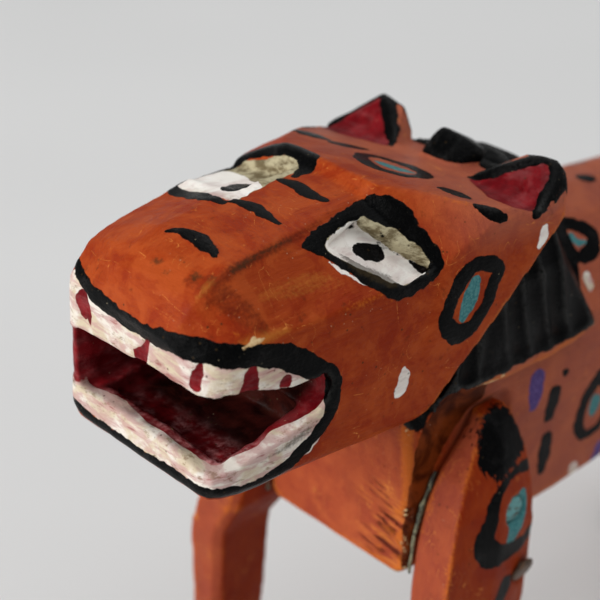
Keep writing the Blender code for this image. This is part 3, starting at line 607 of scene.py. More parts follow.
def paint_muzzle(head):
    upper = [
        (-21.6, -143.0, 158.0, 0.8), (-21.4, -144.4, 164.0, 0.8), (-20.6, -146.8, 167.0, 0.7),
        (-18.5, -148.9, 167.1, 0.9), (-14.9, -150.3, 166.3, 1.3), (-11.2, -150.9, 165.1, 1.6),
        (-6.3, -151.2, 164.4, 1.7), (-1.8, -151.0, 163.8, 1.8), (3.0, -150.9, 163.8, 1.9),
        (8.1, -151.2, 164.2, 2.1), (11.7, -150.5, 164.6, 2.2), (14.9, -149.0, 164.6, 2.2),
        (17.6, -147.1, 164.1, 2.1), (19.5, -145.5, 163.8, 2.1), (20.7, -143.1, 163.3, 2.2),
        (21.2, -140.1, 162.8, 2.3), (21.6, -136.7, 161.5, 2.4), (22.0, -133.5, 159.6, 2.4),
        (22.3, -130.4, 157.2, 2.3), (22.7, -127.2, 154.6, 2.1), (22.9, -125.4, 150.9, 1.8),
        (22.9, -125.4, 148.3, 1.6), (22.8, -126.0, 145.8, 1.4), (22.5, -127.2, 144.1, 1.3),
        (22.2, -129.2, 142.2, 1.3), (21.8, -131.9, 140.2, 1.4), (21.5, -134.6, 138.6, 1.5),
        (21.2, -137.6, 137.2, 1.5), (20.6, -141.0, 136.4, 1.5), (20.2, -145.1, 136.9, 1.5),
        (19.5, -148.4, 137.6, 1.4), (18.0, -150.4, 138.0, 1.3), (15.1, -151.2, 138.1, 1.2),
        (6.0, -151.2, 138.0, 1.1), (-4.0, -151.2, 137.9, 1.1), (-14.0, -151.2, 138.2, 1.1),
        (-19.0, -150.6, 139.2, 1.1), (-21.0, -148.0, 141.6, 1.0), (-21.6, -144.6, 148.0, 0.9),
    ]
    head.stroke("black", upper, closed=True)
    gaps = (
        [(-14.6, -151.1, 163.2, 1.3), (-13.6, -151.1, 160.6, 0.8), (-13.0, -151.0, 158.4, 0.3)],
        [(3.4, -150.5, 162.2, 0.3), (2.1, -150.5, 159.8, 0.7), (0.6, -150.5, 157.2, 1.4)],
        [(15.9, -149.2, 162.2, 0.3), (15.6, -149.6, 160.4, 0.8), (15.1, -150.1, 158.4, 1.1)],
        [(20.9, -141.9, 160.8, 0.7), (20.9, -142.3, 158.9, 1.2), (21.0, -142.8, 156.4, 1.6)],
        [(21.9, -135.4, 155.6, 1.0), (21.9, -135.1, 156.2, 0.8)],
        [(-21.8, -140.0, 156.0, 0.8), (-21.8, -141.0, 152.0, 0.4)],
    )
    for gap in gaps:
        head.stroke("red", gap, weight=1.25)
    head.stroke("red", [(-16.4, -150.6, 163.4, 0.6), (-15.0, -151.1, 161.4, 1.2), (-14.4, -151.1, 159.4, 0.8)])
    head.clear("white", [(-24, -143, 150), (-24, -138, 160), (-24, -130, 150), (-24, -140, 140)], 3.5)
    bridge = (
        [(-3.8, -140.7, 177, 0.15), (-0.6, -138.9, 177, 0.7), (3.2, -138.6, 177, 1.0), (7.3, -139.1, 177, 0.6),
         (8.7, -139.7, 176, 0.2)],
        [(-3.5, -126.4, 178, 0.15), (-2.0, -125.1, 178, 0.6), (3.0, -124.8, 178, 0.8), (8.2, -124.9, 178, 0.3)],
        [(-4.0, -113.9, 178, 0.4), (-1.0, -113.5, 178, 0.8), (4.0, -113.7, 178, 0.8), (7.3, -113.1, 178, 0.4)],
    )
    for mark in bridge:
        head.stroke("black", mark, weight=1.75)


def paint_left_eye(head):
    head.patch("tan", [
        (14.4, -121.0, 174.4), (12.0, -112.5, 176.4), (13.4, -106.4, 177.6), (19.0, -103.0, 173.4),
        (23.8, -101.8, 167.0), (23.8, -110.0, 165.4), (20.6, -116.2, 169.0),
    ], depth=6.0)
    head.patch("black", [
        (13.8, -124.7, 175.0), (12.2, -120.1, 176.3), (11.0, -112.5, 177.0), (10.3, -106.8, 177.4),
        (13.1, -104.6, 178.5), (16.2, -101.9, 177.1), (19.0, -101.3, 173.9), (22.9, -99.9, 170.0),
        (24.8, -100.5, 166.4), (24.4, -104.9, 164.1), (24.0, -111.3, 163.8), (22.8, -115.3, 166.8),
        (19.4, -118.2, 169.6), (15.6, -122.0, 173.2),
    ], depth=6.0)
    floor = [
        (14.6, -119.9, 174.0), (11.8, -113.3, 174.0), (12.4, -109.6, 174.2), (16.2, -107.0, 172.4),
        (21.0, -102.9, 167.4), (23.8, -103.3, 166.6), (23.4, -106.6, 165.8), (23.2, -111.0, 166.7),
        (20.7, -113.7, 168.6), (18.1, -117.3, 170.9),
    ]
    head.clear("black", floor, depth=5.0)
    head.patch("white", floor, depth=6.0)
    head.stroke("white", [(16.8, -120.9, 172.0, 0.3), (19.2, -118.8, 169.9, 0.5), (21.6, -116.2, 167.8, 0.2)])
    wall = [
        (13.6, -109.9, 174.2, 1.2), (15.3, -107.9, 173.2, 1.8), (17.4, -106.0, 171.5, 2.0),
        (20.2, -104.2, 169.2, 1.8), (22.2, -102.7, 167.0, 1.0),
    ]
    for layer in ("black", "white"):
        head.wipe(layer, wall)
    head.oval("black", (15.5, -110.2, 169.9), (0.29, 0.90, -0.34), (3.3, 2.2), 17, wobble=0.03)
    head.stroke("grime_and_hollow_shade", [(16.4, -117.6, 171.6, 0.9), (18.9, -115.0, 169.6, 1.9), (21.6, -111.4, 167.3, 1.9)])


def paint_right_eye(head):
    floor = [
        (-4.2, -126.0, 178.0), (-3.6, -120.4, 178.2), (-4.0, -114.0, 177.4), (-5.0, -106.6, 178.6),
        (-12.4, -106.2, 178.0), (-17.6, -106.8, 176.0), (-22.6, -108.4, 174.0), (-23.4, -119.0, 173.4),
        (-20.4, -124.0, 174.4),
    ]
    head.patch("tan", floor, depth=6.0)
    head.patch("white", [
        (-4.4, -126.4, 177.8), (-3.8, -120.0, 178.0), (-4.8, -117.6, 177.6), (-15.0, -112.4, 174.8),
        (-22.2, -111.6, 173.6), (-23.6, -119.0, 173.4), (-20.6, -124.4, 174.4),
    ], depth=3.0)
    head.stroke("black", [
        (-24.6, -116.0, 172.8, 1.2), (-24.6, -110.9, 173.2, 1.5), (-23.2, -107.2, 174.0, 1.8),
        (-20.4, -105.2, 175.9, 2.0), (-15.9, -104.6, 177.9, 1.9), (-10.2, -104.6, 179.7, 1.9),
        (-5.8, -105.2, 180.0, 2.1), (-3.8, -107.4, 179.2, 1.7), (-3.0, -110.8, 178.4, 0.9),
    ])
    head.stroke("black", [
        (-24.4, -118.4, 173.0, 1.1), (-22.8, -123.6, 173.6, 1.2), (-19.2, -125.6, 174.6, 1.3),
        (-15.0, -126.0, 175.7, 1.5), (-8.6, -127.4, 177.2, 1.5), (-4.0, -127.4, 177.9, 0.9),
    ])
    head.oval("black", (-9.2, -119.3, 176.5), (0.80, 0.60, 0.0), (3.0, 4.4), 31, wobble=0.03)


def paint_crown(head):
    head.stroke("black", [
        (-4.1, -92.6, 177, 0.7), (-3.4, -89.5, 176, 0.6), (0.2, -88.1, 176, 0.7), (3.9, -86.9, 175, 0.8),
        (8.3, -88.1, 175, 0.8), (9.2, -92.3, 177, 0.6), (7.2, -95.4, 178, 0.6), (4.1, -97.1, 178, 0.7),
        (-0.5, -95.9, 178, 0.8),
    ], closed=True, weight=2.1)
    middle = [(0.6, -93.0, 177, 0.5), (2.6, -92.6, 177, 1.2), (5.0, -91.4, 177, 1.2), (6.4, -89.9, 176, 0.5)]
    head.stroke("teal", middle, weight=1.35)
    dashes = (
        [(16.0, -92.0, 177, 0.4), (17.7, -90.6, 176, 1.0), (20.0, -89.4, 176, 0.5)],
        [(23.9, -91.1, 176, 0.3), (25.0, -89.8, 175, 0.5), (26.2, -88.3, 174, 0.6), (26.7, -86.6, 173, 0.4)],
        [(-22.4, -93.3, 177, 0.4), (-18.6, -92.6, 177, 0.9), (-15.1, -91.8, 177, 0.5)],
        [(-12.9, -92.1, 177, 0.4), (-10.6, -89.8, 176, 0.9), (-8.9, -87.5, 175, 0.5)],
        [(-25.0, -88.4, 175, 0.4), (-26.4, -85.6, 173, 0.8), (-27.0, -83.0, 172, 0.4)],
    )
    for dash in dashes:
        head.stroke("black", dash, weight=2.3)


def paint_cheeks(head):
    ring = [
        (25.8, -99.7, 155.2, 1.2), (25.7, -99.3, 158.0, 1.1), (25.8, -97.7, 161.3, 1.1), (26.1, -95.6, 164.4, 1.2),
        (26.5, -92.8, 165.6, 1.1), (27.0, -89.3, 164.6, 1.1), (27.2, -87.4, 162.8, 1.0), (27.1, -88.8, 160.6, 1.0),
        (27.0, -89.8, 157.6, 1.1), (26.8, -91.6, 154.7, 1.1), (26.4, -94.3, 152.5, 1.4), (26.1, -97.3, 152.4, 1.4),
    ]
    middle = [(26.3, -95.5, 155.6, 0.9), (26.4, -94.3, 159.0, 1.7), (26.5, -93.1, 162.4, 0.9)]
    cheek = [(24.5, -109.2, 149.0, 0.6), (24.5, -108.9, 147.0, 1.4), (24.3, -109.6, 144.7, 1.4), (24.3, -110.3, 143.8, 0.7)]
    temple = [(28.3, -76.4, 168.5, 0.6), (28.3, -76.7, 166.7, 1.2), (28.2, -77.6, 164.9, 0.7)]
    for placed in (list, mirrored):
        head.stroke("black", placed(ring), closed=True, weight=1.45)
        head.stroke("teal", placed(middle), weight=1.15)
        head.stroke("white", placed(cheek))
        head.stroke("white", placed(temple))


def paint_ears(head):
    x, y, z = head.points.T
    above = 174.1 - 0.205 * (y + 80.0) - 0.35 * np.maximum(np.abs(x) - 24.0, 0.0) - z
    ahead = np.minimum(80.6 + y, 3.0)
    forelock = np.maximum(3.0 * above, np.maximum(np.abs(x) - 8.6, -ahead))
    facing_in = -np.sign(x) * head.normals[:, 0]
    backs = np.maximum(3.0 * above, 4.0 * np.maximum(0.1 - head.normals[:, 1], facing_in - 0.75))
    head.lay("black", slice(None), np.minimum(forelock, np.maximum(backs, -78.5 - y)))
    hollow = [
        (21.5, -69.9, 178.0), (23.8, -71.2, 176.5), (25.7, -73.6, 174.9), (26.4, -76.6, 173.9), (27.0, -79.1, 172.2),
        (25.4, -82.0, 173.2), (20.0, -82.0, 172.8), (15.2, -79.8, 173.1), (11.6, -78.3, 172.8), (13.9, -75.4, 174.3),
        (18.0, -72.7, 176.2),
    ]
    outside = [
        (27.2, -69.4, 173.4), (28.1, -75.4, 172.2), (28.4, -80.6, 170.4), (29.0, -78.0, 166.0), (28.6, -72.0, 166.0),
        (27.4, -67.5, 169.0),
    ]
    top = [(10.4, -78.0, 173.0, 0.6), (15.4, -74.6, 175.8, 1.0), (20.4, -70.4, 178.4, 1.2)]
    behind = [(11.0, -76.4, 173.6, 0.8), (15.6, -73.0, 176.0, 1.4), (20.0, -69.0, 177.8, 1.5)]
    rim = [
        (20.0, -69.4, 178.4, 1.1), (22.8, -68.9, 177.6, 1.3), (24.6, -69.4, 176.2, 1.5), (25.8, -71.0, 175.1, 1.6),
        (26.6, -73.9, 174.3, 1.5), (27.6, -77.4, 172.9, 1.3), (27.9, -79.2, 171.6, 0.7),
    ]
    for placed in (list, mirrored):
        head.clear("black", placed(hollow), depth=3.2, rounded=False)
        head.clear("black", placed(outside), depth=2.5, rounded=False)
        head.stroke("black", placed(top))
        head.stroke("black", placed(behind))
        head.stroke("black", placed(rim))
        head.patch("red", placed(hollow), depth=3.4, rounded=False, grow=0.6)


def build_head(material):
    head = Carving("head", 0.50, soften=3)
    x, y, z = head.points.T
    cut = 0.30 * (scallops(head.points, (9.0, 15.0, 9.0), 3) - 0.25)
    cut += 0.05 * swell(head.points, (2.4, 4.0, 2.4), 8)
    head.push(cut)
    corner = np.exp(-(((x - 18.0) / 7.0) ** 2 + ((y + 149.0) / 6.5) ** 2))
    head.points[:, 2] -= 1.7 * corner * ease(z, 139.6, 142.4) * ease(z, 149.0, 146.0)
    head.settle()
    lips, inset = paint_mouth(head)
    deep = np.zeros(len(head.points))
    deep[lips] = ease(inset, 1.3, 3.2)
    x, y, z = head.points[lips].T
    # Paler, pinker paint over the top of the back of the head, partly painted highlight.
    head.shares["pale_paint_and_light"] = ease(head.points[:, 1], -104.0, -86.0) * ease(head.points[:, 2], 164.0, 173.0)
    head.shares["tidy"] = ease(head.points[:, 1], -126.0, -123.0)
    hollow = np.maximum(ease(z, 143.5, 146.5), ease(y, -144.5, -138.0))
    # Painted shade deep inside the mouth, on its roof and back.
    head.shares["mouth_shade"][lips] = ease(inset, 2.5, 6.5) * hollow * ease(x, -17.0, -11.0)
    head.shares["scuff"][lips] = ease(inset, 1.0, 3.0) * ease(z, 145.5, 143.0) * ease(y, -136.0, -141.0)
    head.shares["scuff"][lips] *= ease(x, -15.0, -8.0)
    gouged = 0.8 * (scallops(head.points, (5.0, 5.0, 5.0), 11) - 0.25) + 0.2 * swell(head.points, (1.6, 1.6, 1.6), 4)
    paint_muzzle(head)
    paint_left_eye(head)
    paint_right_eye(head)
    paint_crown(head)
    paint_cheeks(head)
    paint_ears(head)
    # Partly rubbed paint, partly painted highlight: paler orange along the bridge and cheek arrises.
    head.stroke("rub_and_highlight", [(17.2, -136.6, 171.0, 0.2), (17.4, -131.0, 171.0, 1.4), (18.2, -126.0, 170.2, 1.4), (19.6, -121.0, 169.0, 0.2)])
    head.layers["rub_and_highlight"] = np.maximum(head.layers["rub_and_highlight"], 0.25)
    head.stroke("rub_and_highlight", [
        (20.4, -144.6, 165.4, 0.6), (21.2, -140.0, 165.8, 0.9), (21.6, -135.0, 166.0, 0.3),
    ])
    head.stroke("bare", [(20.6, -143.6, 165.2, 0.1), (21.0, -142.2, 165.9, 0.5), (21.2, -141.4, 167.0, 0.1)])
    head.stroke("bare", [(21.2, -141.6, 165.2, 0.1), (21.3, -140.6, 165.9, 0.5), (21.4, -138.8, 166.0, 0.1)])
    head.stroke("white", [(22.8, -131.6, 138.9, 0.2), (23.1, -129.6, 140.6, 0.8), (23.3, -127.4, 143.0, 0.2)])
    head.stroke("grime_and_hollow_shade", [(21.4, -139.0, 141.8, 0.2), (22.2, -134.0, 142.8, 0.5), (22.6, -129.5, 144.6, 0.3)])
    head.stroke("grime_and_hollow_shade", [(-18.6, -150.4, 143.4, 0.3), (-20.4, -148.6, 144.2, 0.7), (-21.4, -146.4, 146.0, 0.4)])
    # Partly rubbed paint, partly painted highlight at the front of the bridge arris.
    head.stroke("rub_and_highlight", [(12.4, -146.6, 172.8, 0.2), (12.6, -145.0, 174.0, 0.5), (12.6, -143.6, 175.0, 0.2)])
    stains = ((0.6, -147.2, 0.7), (3.6, -148.3, 0.5), (9.6, -145.4, 0.9), (12.0, -144.0, 0.5), (5.0, -132.0, 0.3), (15.0, -128.0, 0.4))
    for at_x, at_y, size in stains:
        head.stroke("grime_and_hollow_shade", [(at_x, at_y, 176.0, size), (at_x + 0.8, at_y + 0.5, 176.0, 0.6 * size)])
    head.stroke("grime_and_hollow_shade", [(13.3, -139.6, 175.4, 0.3), (12.8, -133.0, 176.3, 0.25), (12.2, -126.0, 176.6, 0.3)])
    # Painted shade: a red-brown band over the snout's front corner facet, and a dark line under the bridge arris.
    head.stroke("painted_shade", [(8.4, -145.8, 174.2, 0.3), (12.4, -144.0, 173.0, 1.9), (16.4, -141.6, 170.4, 2.2), (19.8, -139.2, 167.2, 1.2)])
    head.layers["painted_shade"] = np.maximum(head.layers["painted_shade"], -0.35)
    head.stroke("painted_shade", [
        (14.4, -146.4, 171.4, 0.4), (13.8, -143.0, 174.6, 0.8), (13.2, -134.0, 176.1, 0.8), (12.3, -125.0, 176.6, 0.7),
        (11.4, -118.0, 176.8, 0.5),
    ])
    teeth = np.maximum(head.layers["red"], -deep)
    groove = 0.35 * ease(head.layers["red"], 0.5, -0.6) * (1.0 - deep)
    lump = 0.13 * ease(head.layers["white"], 0.3, -0.8) * swell(head.points, (3.6, 3.6, 2.2), 6)
    brow = 0.10 * ease(head.layers["black"], 0.2, -0.8)
    head.push(deep * gouged - groove + lump + brow)
    head.finish(material, "figure")


# ---------------------------------------------------------------- torso

def build_torso(material):
    torso = Carving("torso", 0.75, soften=2)
    x, y, z = torso.points.T
    rear = np.interp(z, (136.0, 139.0, 150.0, 163.0), (-54.0, -54.0, -50.4, -48.4))
    wave = 0.5 * swell(torso.points, (5.0, 5.0, 5.0), 2)
    mane = np.maximum(y - rear + wave, 138.0 + wave - z)
    tip = np.maximum(np.abs(y + 99.5) * 0.5 - (z - 128.5) * 0.6, np.maximum(z - 140.0, y + 92.0))
    mane = np.minimum(mane, np.maximum(tip, 18.0 - np.abs(x)))
    torso.lay("black", slice(None), mane)

    cut = 0.45 * (scallops(torso.points, (10.0, 19.0, 10.0), 3) - 0.25)
    drift = y + 0.16 * (z - 150.0) + 2.8 * swell(torso.points, (9.0, 8.0, 22.0), 7)
    lock = np.abs(np.sin(drift * math.pi / 6.4))
    side = ease(mane, 0.2, -3.2)
    uneven = 1.0 + 0.7 * swell(torso.points, (7.0, 6.0, 12.0), 12)
    locks = -1.1 * side * lock**0.6 * uneven * ease(np.abs(x), 3.0, 12.0)
    crest = side * ease(np.abs(x), 13.0, 5.0) * 1.1 * np.sin(y * math.tau / 6.5 + 0.5 * swell(torso.points, (4, 4, 4), 9))
    torn = ease(y, -100.2, -101.2) * ease(x, 5.0, 13.0) * ease(z, 117.0, 112.0)
    torn *= ease(swell(torso.points, (7.0, 7.0, 5.0), 18) + 0.35 * ease(x, 8.0, 16.0), -0.2, 0.3)
    torso.shares["torn"] = torn
    torso.shares["pale_paint_and_light"] = np.maximum(ease(y, -96.0, -80.0), 0.4 * ease(y, -99.0, -101.0))
    leaning = torso.points @ np.array([[1.0, 0.0, 0.18], [0.0, 1.0, 0.0], [0.0, 0.0, 1.0]])
    chest = -0.8 * torn * ease(swell(leaning, (8.0, 3.0, 2.0), 21), -0.1, 0.5)
    rest = 1.0 - ease(mane, 0.2, -1.4)
    torso.push(cut * (0.35 + 0.65 * rest) + locks + crest + chest)

    left = (
        ("purple", [(22, -66.3, 128.4, 1.6), (22, -66.6, 125.2, 1.5), (22, -67.3, 122.2, 0.9)]),
        ("black", [(22, -60.7, 122.6, 1.6), (22, -61.0, 120.0, 1.4), (22, -61.4, 117.5, 1.1)]),
        ("black", [(22, -61.4, 111.7, 1.3), (22, -61.6, 108.0, 1.5), (22, -61.8, 104.3, 1.0)]),
        ("black", [(22, -57.6, 126.9, 0.6), (22, -57.2, 126.4, 0.6)]),
        ("purple", [(22, -42.0, 101.2, 1.2), (22, -43.1, 98.2, 1.0)]),
        ("white", [(22, -50.9, 99.6, 1.0), (22, -50.5, 98.8, 1.0)]),
        ("white", [(19.2, -49.6, 145.2, 0.7), (19.9, -49.2, 143.0, 0.8)]),
    )
    for layer, points in left:
        torso.stroke(layer, points, weight=1.4)
        torso.stroke(layer, mirrored(points), weight=1.4)
    ring = [
        (22, -45.3, 120.4, 1.6), (22, -48.6, 117.8, 1.4), (22, -50.3, 114.3, 1.3), (22, -50.6, 110.1, 1.3),
        (22, -49.1, 107.4, 1.1), (22, -46.0, 106.6, 0.9), (22, -42.4, 108.4, 1.0), (22, -40.6, 113.0, 1.2),
        (22, -41.6, 118.2, 1.5),
    ]
    shoulder = [
        (12.4, -50.7, 154.4, 0.9), (12.7, -46.7, 153.7, 0.9), (14.4, -43.1, 151.5, 1.1), (16.2, -43.5, 149.8, 1.1),
        (17.4, -47.0, 148.7, 1.1), (16.9, -50.4, 149.6, 0.7),
    ]
    for placed in (list, mirrored):
        torso.stroke("black", placed(ring), closed=True, weight=1.3)
        torso.stroke("black", placed(shoulder), closed=True, weight=1.7)
    flank = (  # kind, y, z, long radius, short radius, lean of the long way
        ("ring", -46.0, 114.0, 2.8, 1.9, 1.4), ("ring", -22.0, 137.0, 6.6, 5.0, 1.1), ("ring", -8.0, 112.0, 6.2, 4.8, 1.9),
        ("ring", 14.0, 134.0, 6.8, 5.2, 1.3), ("ring", 30.0, 112.0, 5.6, 4.6, 1.0), ("ring", 84.0, 131.0, 5.4, 4.2, 1.5),
        ("spot", -28.0, 118.0, 2.9, 1.7, 1.2), ("spot", -34.0, 128.0, 2.2, 1.4, 0.4), ("spot", 1.0, 125.0, 2.8, 1.6, 1.4),
        ("spot", 12.0, 105.0, 2.4, 1.5, 0.9), ("spot", -16.0, 103.0, 2.2, 1.4, 1.6), ("spot", 32.0, 128.0, 2.6, 1.6, 1.3),
        ("spot", -4.0, 143.0, 2.6, 1.5, 0.3), ("spot", 34.0, 146.0, 2.7, 1.6, 0.2), ("spot", 90.0, 117.0, 2.0, 1.3, 1.2),
        ("dash", -35.0, 143.0, 2.9, 1.3, 1.0), ("dash", -24.0, 107.0, 2.8, 1.2, 1.3), ("dash", 20.0, 119.0, 2.8, 1.2, 1.8),
        ("dash", 38.0, 136.0, 2.6, 1.2, 1.1), ("dot", -12.0, 128.0, 1.6, 1.2, 0.8), ("dot", 24.0, 103.0, 1.5, 1.2, 0.8),
        ("dot", 24.0, 144.0, 1.7, 1.3, 0.8), ("dot", -38.0, 104.0, 1.5, 1.2, 0.8), ("dot", 82.0, 117.0, 1.5, 1.2, 0.8),
    )
    for side_x in (24.0, -24.0):
        for number, (kind, at_y, at_z, long, short, lean) in enumerate(flank):
            seed = 100 + number + (50 if side_x < 0 else 0)
            place = (side_x, at_y + (1.5 if side_x < 0 else 0.0), at_z)
            way = (0.0, math.cos(lean), math.sin(lean))
            if number == 0:
                torso.oval("teal", place, way, (long, short), seed)
            elif kind == "ring":
                torso.rosette(place, way, (long, short), seed)
            else:
                layer = {"spot": "black", "dash": "purple", "dot": "white"}[kind]
                torso.oval(layer, place, way, (long, short), seed)
    back = (
        (3.4, -31.0, 2.8, 1.8, 1.3), (-8.0, -22.0, 2.4, 1.5, 0.3), (9.0, -16.0, 2.6, 1.6, 2.0), (-3.0, -6.0, 2.6, 1.6, 1.0),
        (9.0, 8.0, 2.5, 1.6, 0.7), (-9.0, 16.0, 2.7, 1.6, 2.2), (4.0, 52.0, 2.7, 1.7, 0.5), (-8.0, 62.0, 2.4, 1.5, 1.4),
    )
    for number, (at_x, at_y, long, short, lean) in enumerate(back):
        torso.oval("black", (at_x, at_y, 158.0), (math.cos(lean), math.sin(lean), 0.0), (long, short), 300 + number)
    for number, (at_x, at_y) in enumerate(((0.0, 24.0), (1.0, 76.0))):
        torso.rosette((at_x, at_y, 158.0), (0.3, 1.0, 0.0), (6.0, 4.6), 330 + number)
    for placed in (list, mirrored):
        torso.stroke("filler", placed([
            (20.6, -84.0, 132.6, 2.6), (20.6, -90.0, 130.6, 4.2), (20.3, -94.6, 126.6, 4.4), (20.3, -97.4, 121.0, 3.2),
            (20.3, -99.4, 114.0, 2.2), (20.3, -100.8, 105.0, 1.5), (20.3, -101.4, 97.0, 1.0),
        ]))
        torso.stroke("bare", placed([(25.7, -89.6, 137.3, 0.3), (25.8, -86.0, 136.8, 0.7), (25.9, -82.6, 137.4, 0.4)]))
    torso.stroke("teal", [(14.0, -48.9, 152.6, 0.6), (15.2, -48.6, 151.2, 0.9), (15.6, -46.0, 150.6, 0.5)])
    torso.stroke("teal", [(-14.0, -48.9, 152.6, 0.6), (-15.2, -48.6, 151.2, 0.9), (-15.6, -46.0, 150.6, 0.5)])
    torso.finish(material, "figure")


# ---------------------------------------------------------------- legs

def paint_front_left_leg(leg):
    leg.patch("black", [
        (22.9, -81.1, 128.8), (24.9, -78.4, 127.4), (26.4, -77.2, 123.0), (27.4, -77.0, 119.6), (29.2, -80.4, 118.4),
        (30.6, -85.6, 117.2), (30.4, -88.0, 117.8), (28.8, -90.1, 120.3), (27.8, -90.4, 122.0), (25.8, -88.1, 125.8),
        (24.0, -85.2, 128.4),
    ], depth=4.0)
    leg.shares["frayed"] = ease(leg.layers["black"], 4.0, 2.0) * ease(leg.points[:, 2], 114.0, 118.0)
    leg.stroke("black", [
        (30.0, -77.0, 116.4, 1.1), (30.2, -80.4, 117.0, 0.9), (30.6, -83.5, 116.7, 0.8), (31.3, -87.0, 115.4, 0.9),
        (31.8, -89.2, 113.0, 1.2), (32.2, -90.3, 110.5, 1.5), (32.4, -91.6, 108.3, 1.8), (32.6, -92.6, 105.4, 2.1),
        (33.2, -90.4, 102.2, 2.3), (33.0, -86.2, 100.7, 1.7), (32.1, -80.2, 100.0, 1.2), (31.5, -76.4, 101.1, 1.0),
    ], weight=1.3)
    leg.patch("teal", [
        (31.2, -79.4, 112.4), (31.2, -81.6, 112.0), (32.0, -83.4, 109.6), (32.6, -85.2, 106.4), (32.8, -86.2, 103.4),
        (32.6, -84.4, 101.8), (32.2, -81.6, 103.0), (31.6, -79.2, 106.0), (31.2, -78.2, 109.8),
    ], depth=3.0)
    leg.stroke("black", [(32.9, -85.0, 91.8, 2.0), (33.0, -87.0, 88.6, 1.9)], weight=1.2)


def dress_leg(leg, side, middle, inner_marks, seed):
    """Rings, spots and dots down the outer side of a leg; middle gives its y at a height."""
    random = np.random.default_rng(seed)
    for height, kind in inner_marks:
        place = (side * 45.0, middle(height) + random.uniform(-1.5, 1.5), height)
        way = (0.0, random.uniform(-0.4, 0.4), 1.0)
        size = random.uniform(0.9, 1.15)
        if kind == "ring":
            leg.rosette(place, way, (6.4 * size, 4.6 * size), seed + int(height), line=1.3)
        elif kind == "blotch":
            leg.oval("black", place, way, (5.4 * size, 4.2 * size), seed + int(height), wobble=0.16)
        else:
            layer = {"spot": "black", "dash": "purple", "dot": "white"}[kind]
            leg.oval(layer, place, way, (2.6 * size, 1.6 * size), seed + int(height))


def hoof(leg, height):
    """A black painted foot."""
    x, y, z = leg.points.T
    leg.lay("black", slice(None), z - height + 0.7 * swell(leg.points, (5.0, 5.0, 5.0), 15))


def build_leg(node, material, side, middle, marks, seed):
    leg = Carving(node, 0.55, soften=2)
    cut = 0.34 * (scallops(leg.points, (8.0, 8.0, 17.0), seed) - 0.25)
    inside = ease(side * leg.points[:, 0], 20.9, 21.8)
    leg.push(cut * inside + 0.05 * inside * swell(leg.points, (2.0, 2.0, 4.0), seed + 1))
    # Painted light: leg facets that face forward are paler and pinker and take less of the darker coat, so the other
    # facets read as painted shade.
    leg.shares["pale_paint_and_light"] = 0.5 * ease(leg.normals[:, 1], -0.35, -0.75)
    if node == "leg_front_left":
        paint_front_left_leg(leg)
    dress_leg(leg, side, middle, marks, seed)
    hoof(leg, 6.5)
    leg.finish(material, "figure")


def build_legs(material):
    front_low = ((74.0, "spot"), (60.0, "dot"), (50.0, "ring"), (33.0, "spot"), (20.0, "dash"))
    front = ((121.0, "blotch"), (106.0, "ring"), (90.0, "spot"), *front_low)
    hind = ((124.0, "spot"), (109.0, "ring"), (92.0, "blotch"), (78.0, "dot"), (66.0, "ring"), (50.0, "spot"), (34.0, "dash"), (22.0, "spot"))
    heights = (0.0, 18.0, 55.0, 90.0, 105.0, 120.0)
    hind_heights = (0.0, 17.0, 32.0, 46.0, 60.0, 94.0, 130.0)
    hind_middles = (58.0, 63.0, 68.0, 70.0, 65.0, 61.0, 62.0)

    def front_left(z):
        return np.interp(z, heights, (-98.0, -93.0, -92.0, -89.5, -88.0, -85.5))

    def front_right(z):
        return np.interp(z, heights, (-108.0, -104.5, -105.0, -104.0, -97.0, -92.0))

    def hind_left(z):
        return np.interp(z, hind_heights, hind_middles)

    def hind_right(z):
        return hind_left(z) + 10.0

    build_leg("leg_front_left", material, 1.0, front_left, front_low, 41)
    build_leg("leg_front_right", material, -1.0, front_right, front, 42)
    build_leg("leg_hind_left", material, 1.0, hind_left, hind, 43)
    build_leg("leg_hind_right", material, -1.0, hind_right, hind, 44)


# ---------------------------------------------------------------- tail and fittings

def build_tail(material):
    tail = Carving("tail", 0.5, soften=3)
    x, y, z = tail.points.T
    seat = (y - 97.5) * 0.906308 + (z - 142.5) * 0.422618
    free = ease(seat, 1.5, 5.0)
    cut = 0.4 * (scallops(tail.points, (6.0, 9.0, 9.0), 5) - 0.25)
    tail.push(cut * free)
    middle = np.array([
        (102.8, 145.0), (110.4, 148.8), (119.0, 153.8), (127.6, 160.0), (134.8, 167.0), (140.4, 175.0), (144.0, 183.6),
        (145.8, 192.0), (145.4, 199.4), (143.0, 206.0),
    ])
    runs = np.concatenate([[0.0], np.cumsum(np.linalg.norm(np.diff(middle, axis=0), axis=1))])
    fine = np.linspace(0.0, runs[-1], 200)
    line = np.stack([np.interp(fine, runs, middle[:, 0]), np.interp(fine, runs, middle[:, 1])], axis=1)
    gaps = np.linalg.norm(tail.points[:, None, 1:] - line[None, :, :], axis=2)
    along = fine[gaps.argmin(axis=1)] + 0.8 * swell(tail.points, (5.0, 5.0, 5.0), 3)
    for start in (14.0, 30.0, 46.0, 62.0):
        tail.lay("black", slice(None), np.abs(along - start) - 1.9)
    tail.lay("black", slice(None), 78.0 - along)
    for start in (22.0, 38.0, 54.0, 70.0):
        for side in (1.0, -1.0):
            at = line[np.abs(fine - start).argmin()]
            tail.oval("white", (side * 10.0, at[0], at[1]), (0.0, 0.5, 1.0), (1.5, 1.1), int(start))
    tail.finish(material, "tail")


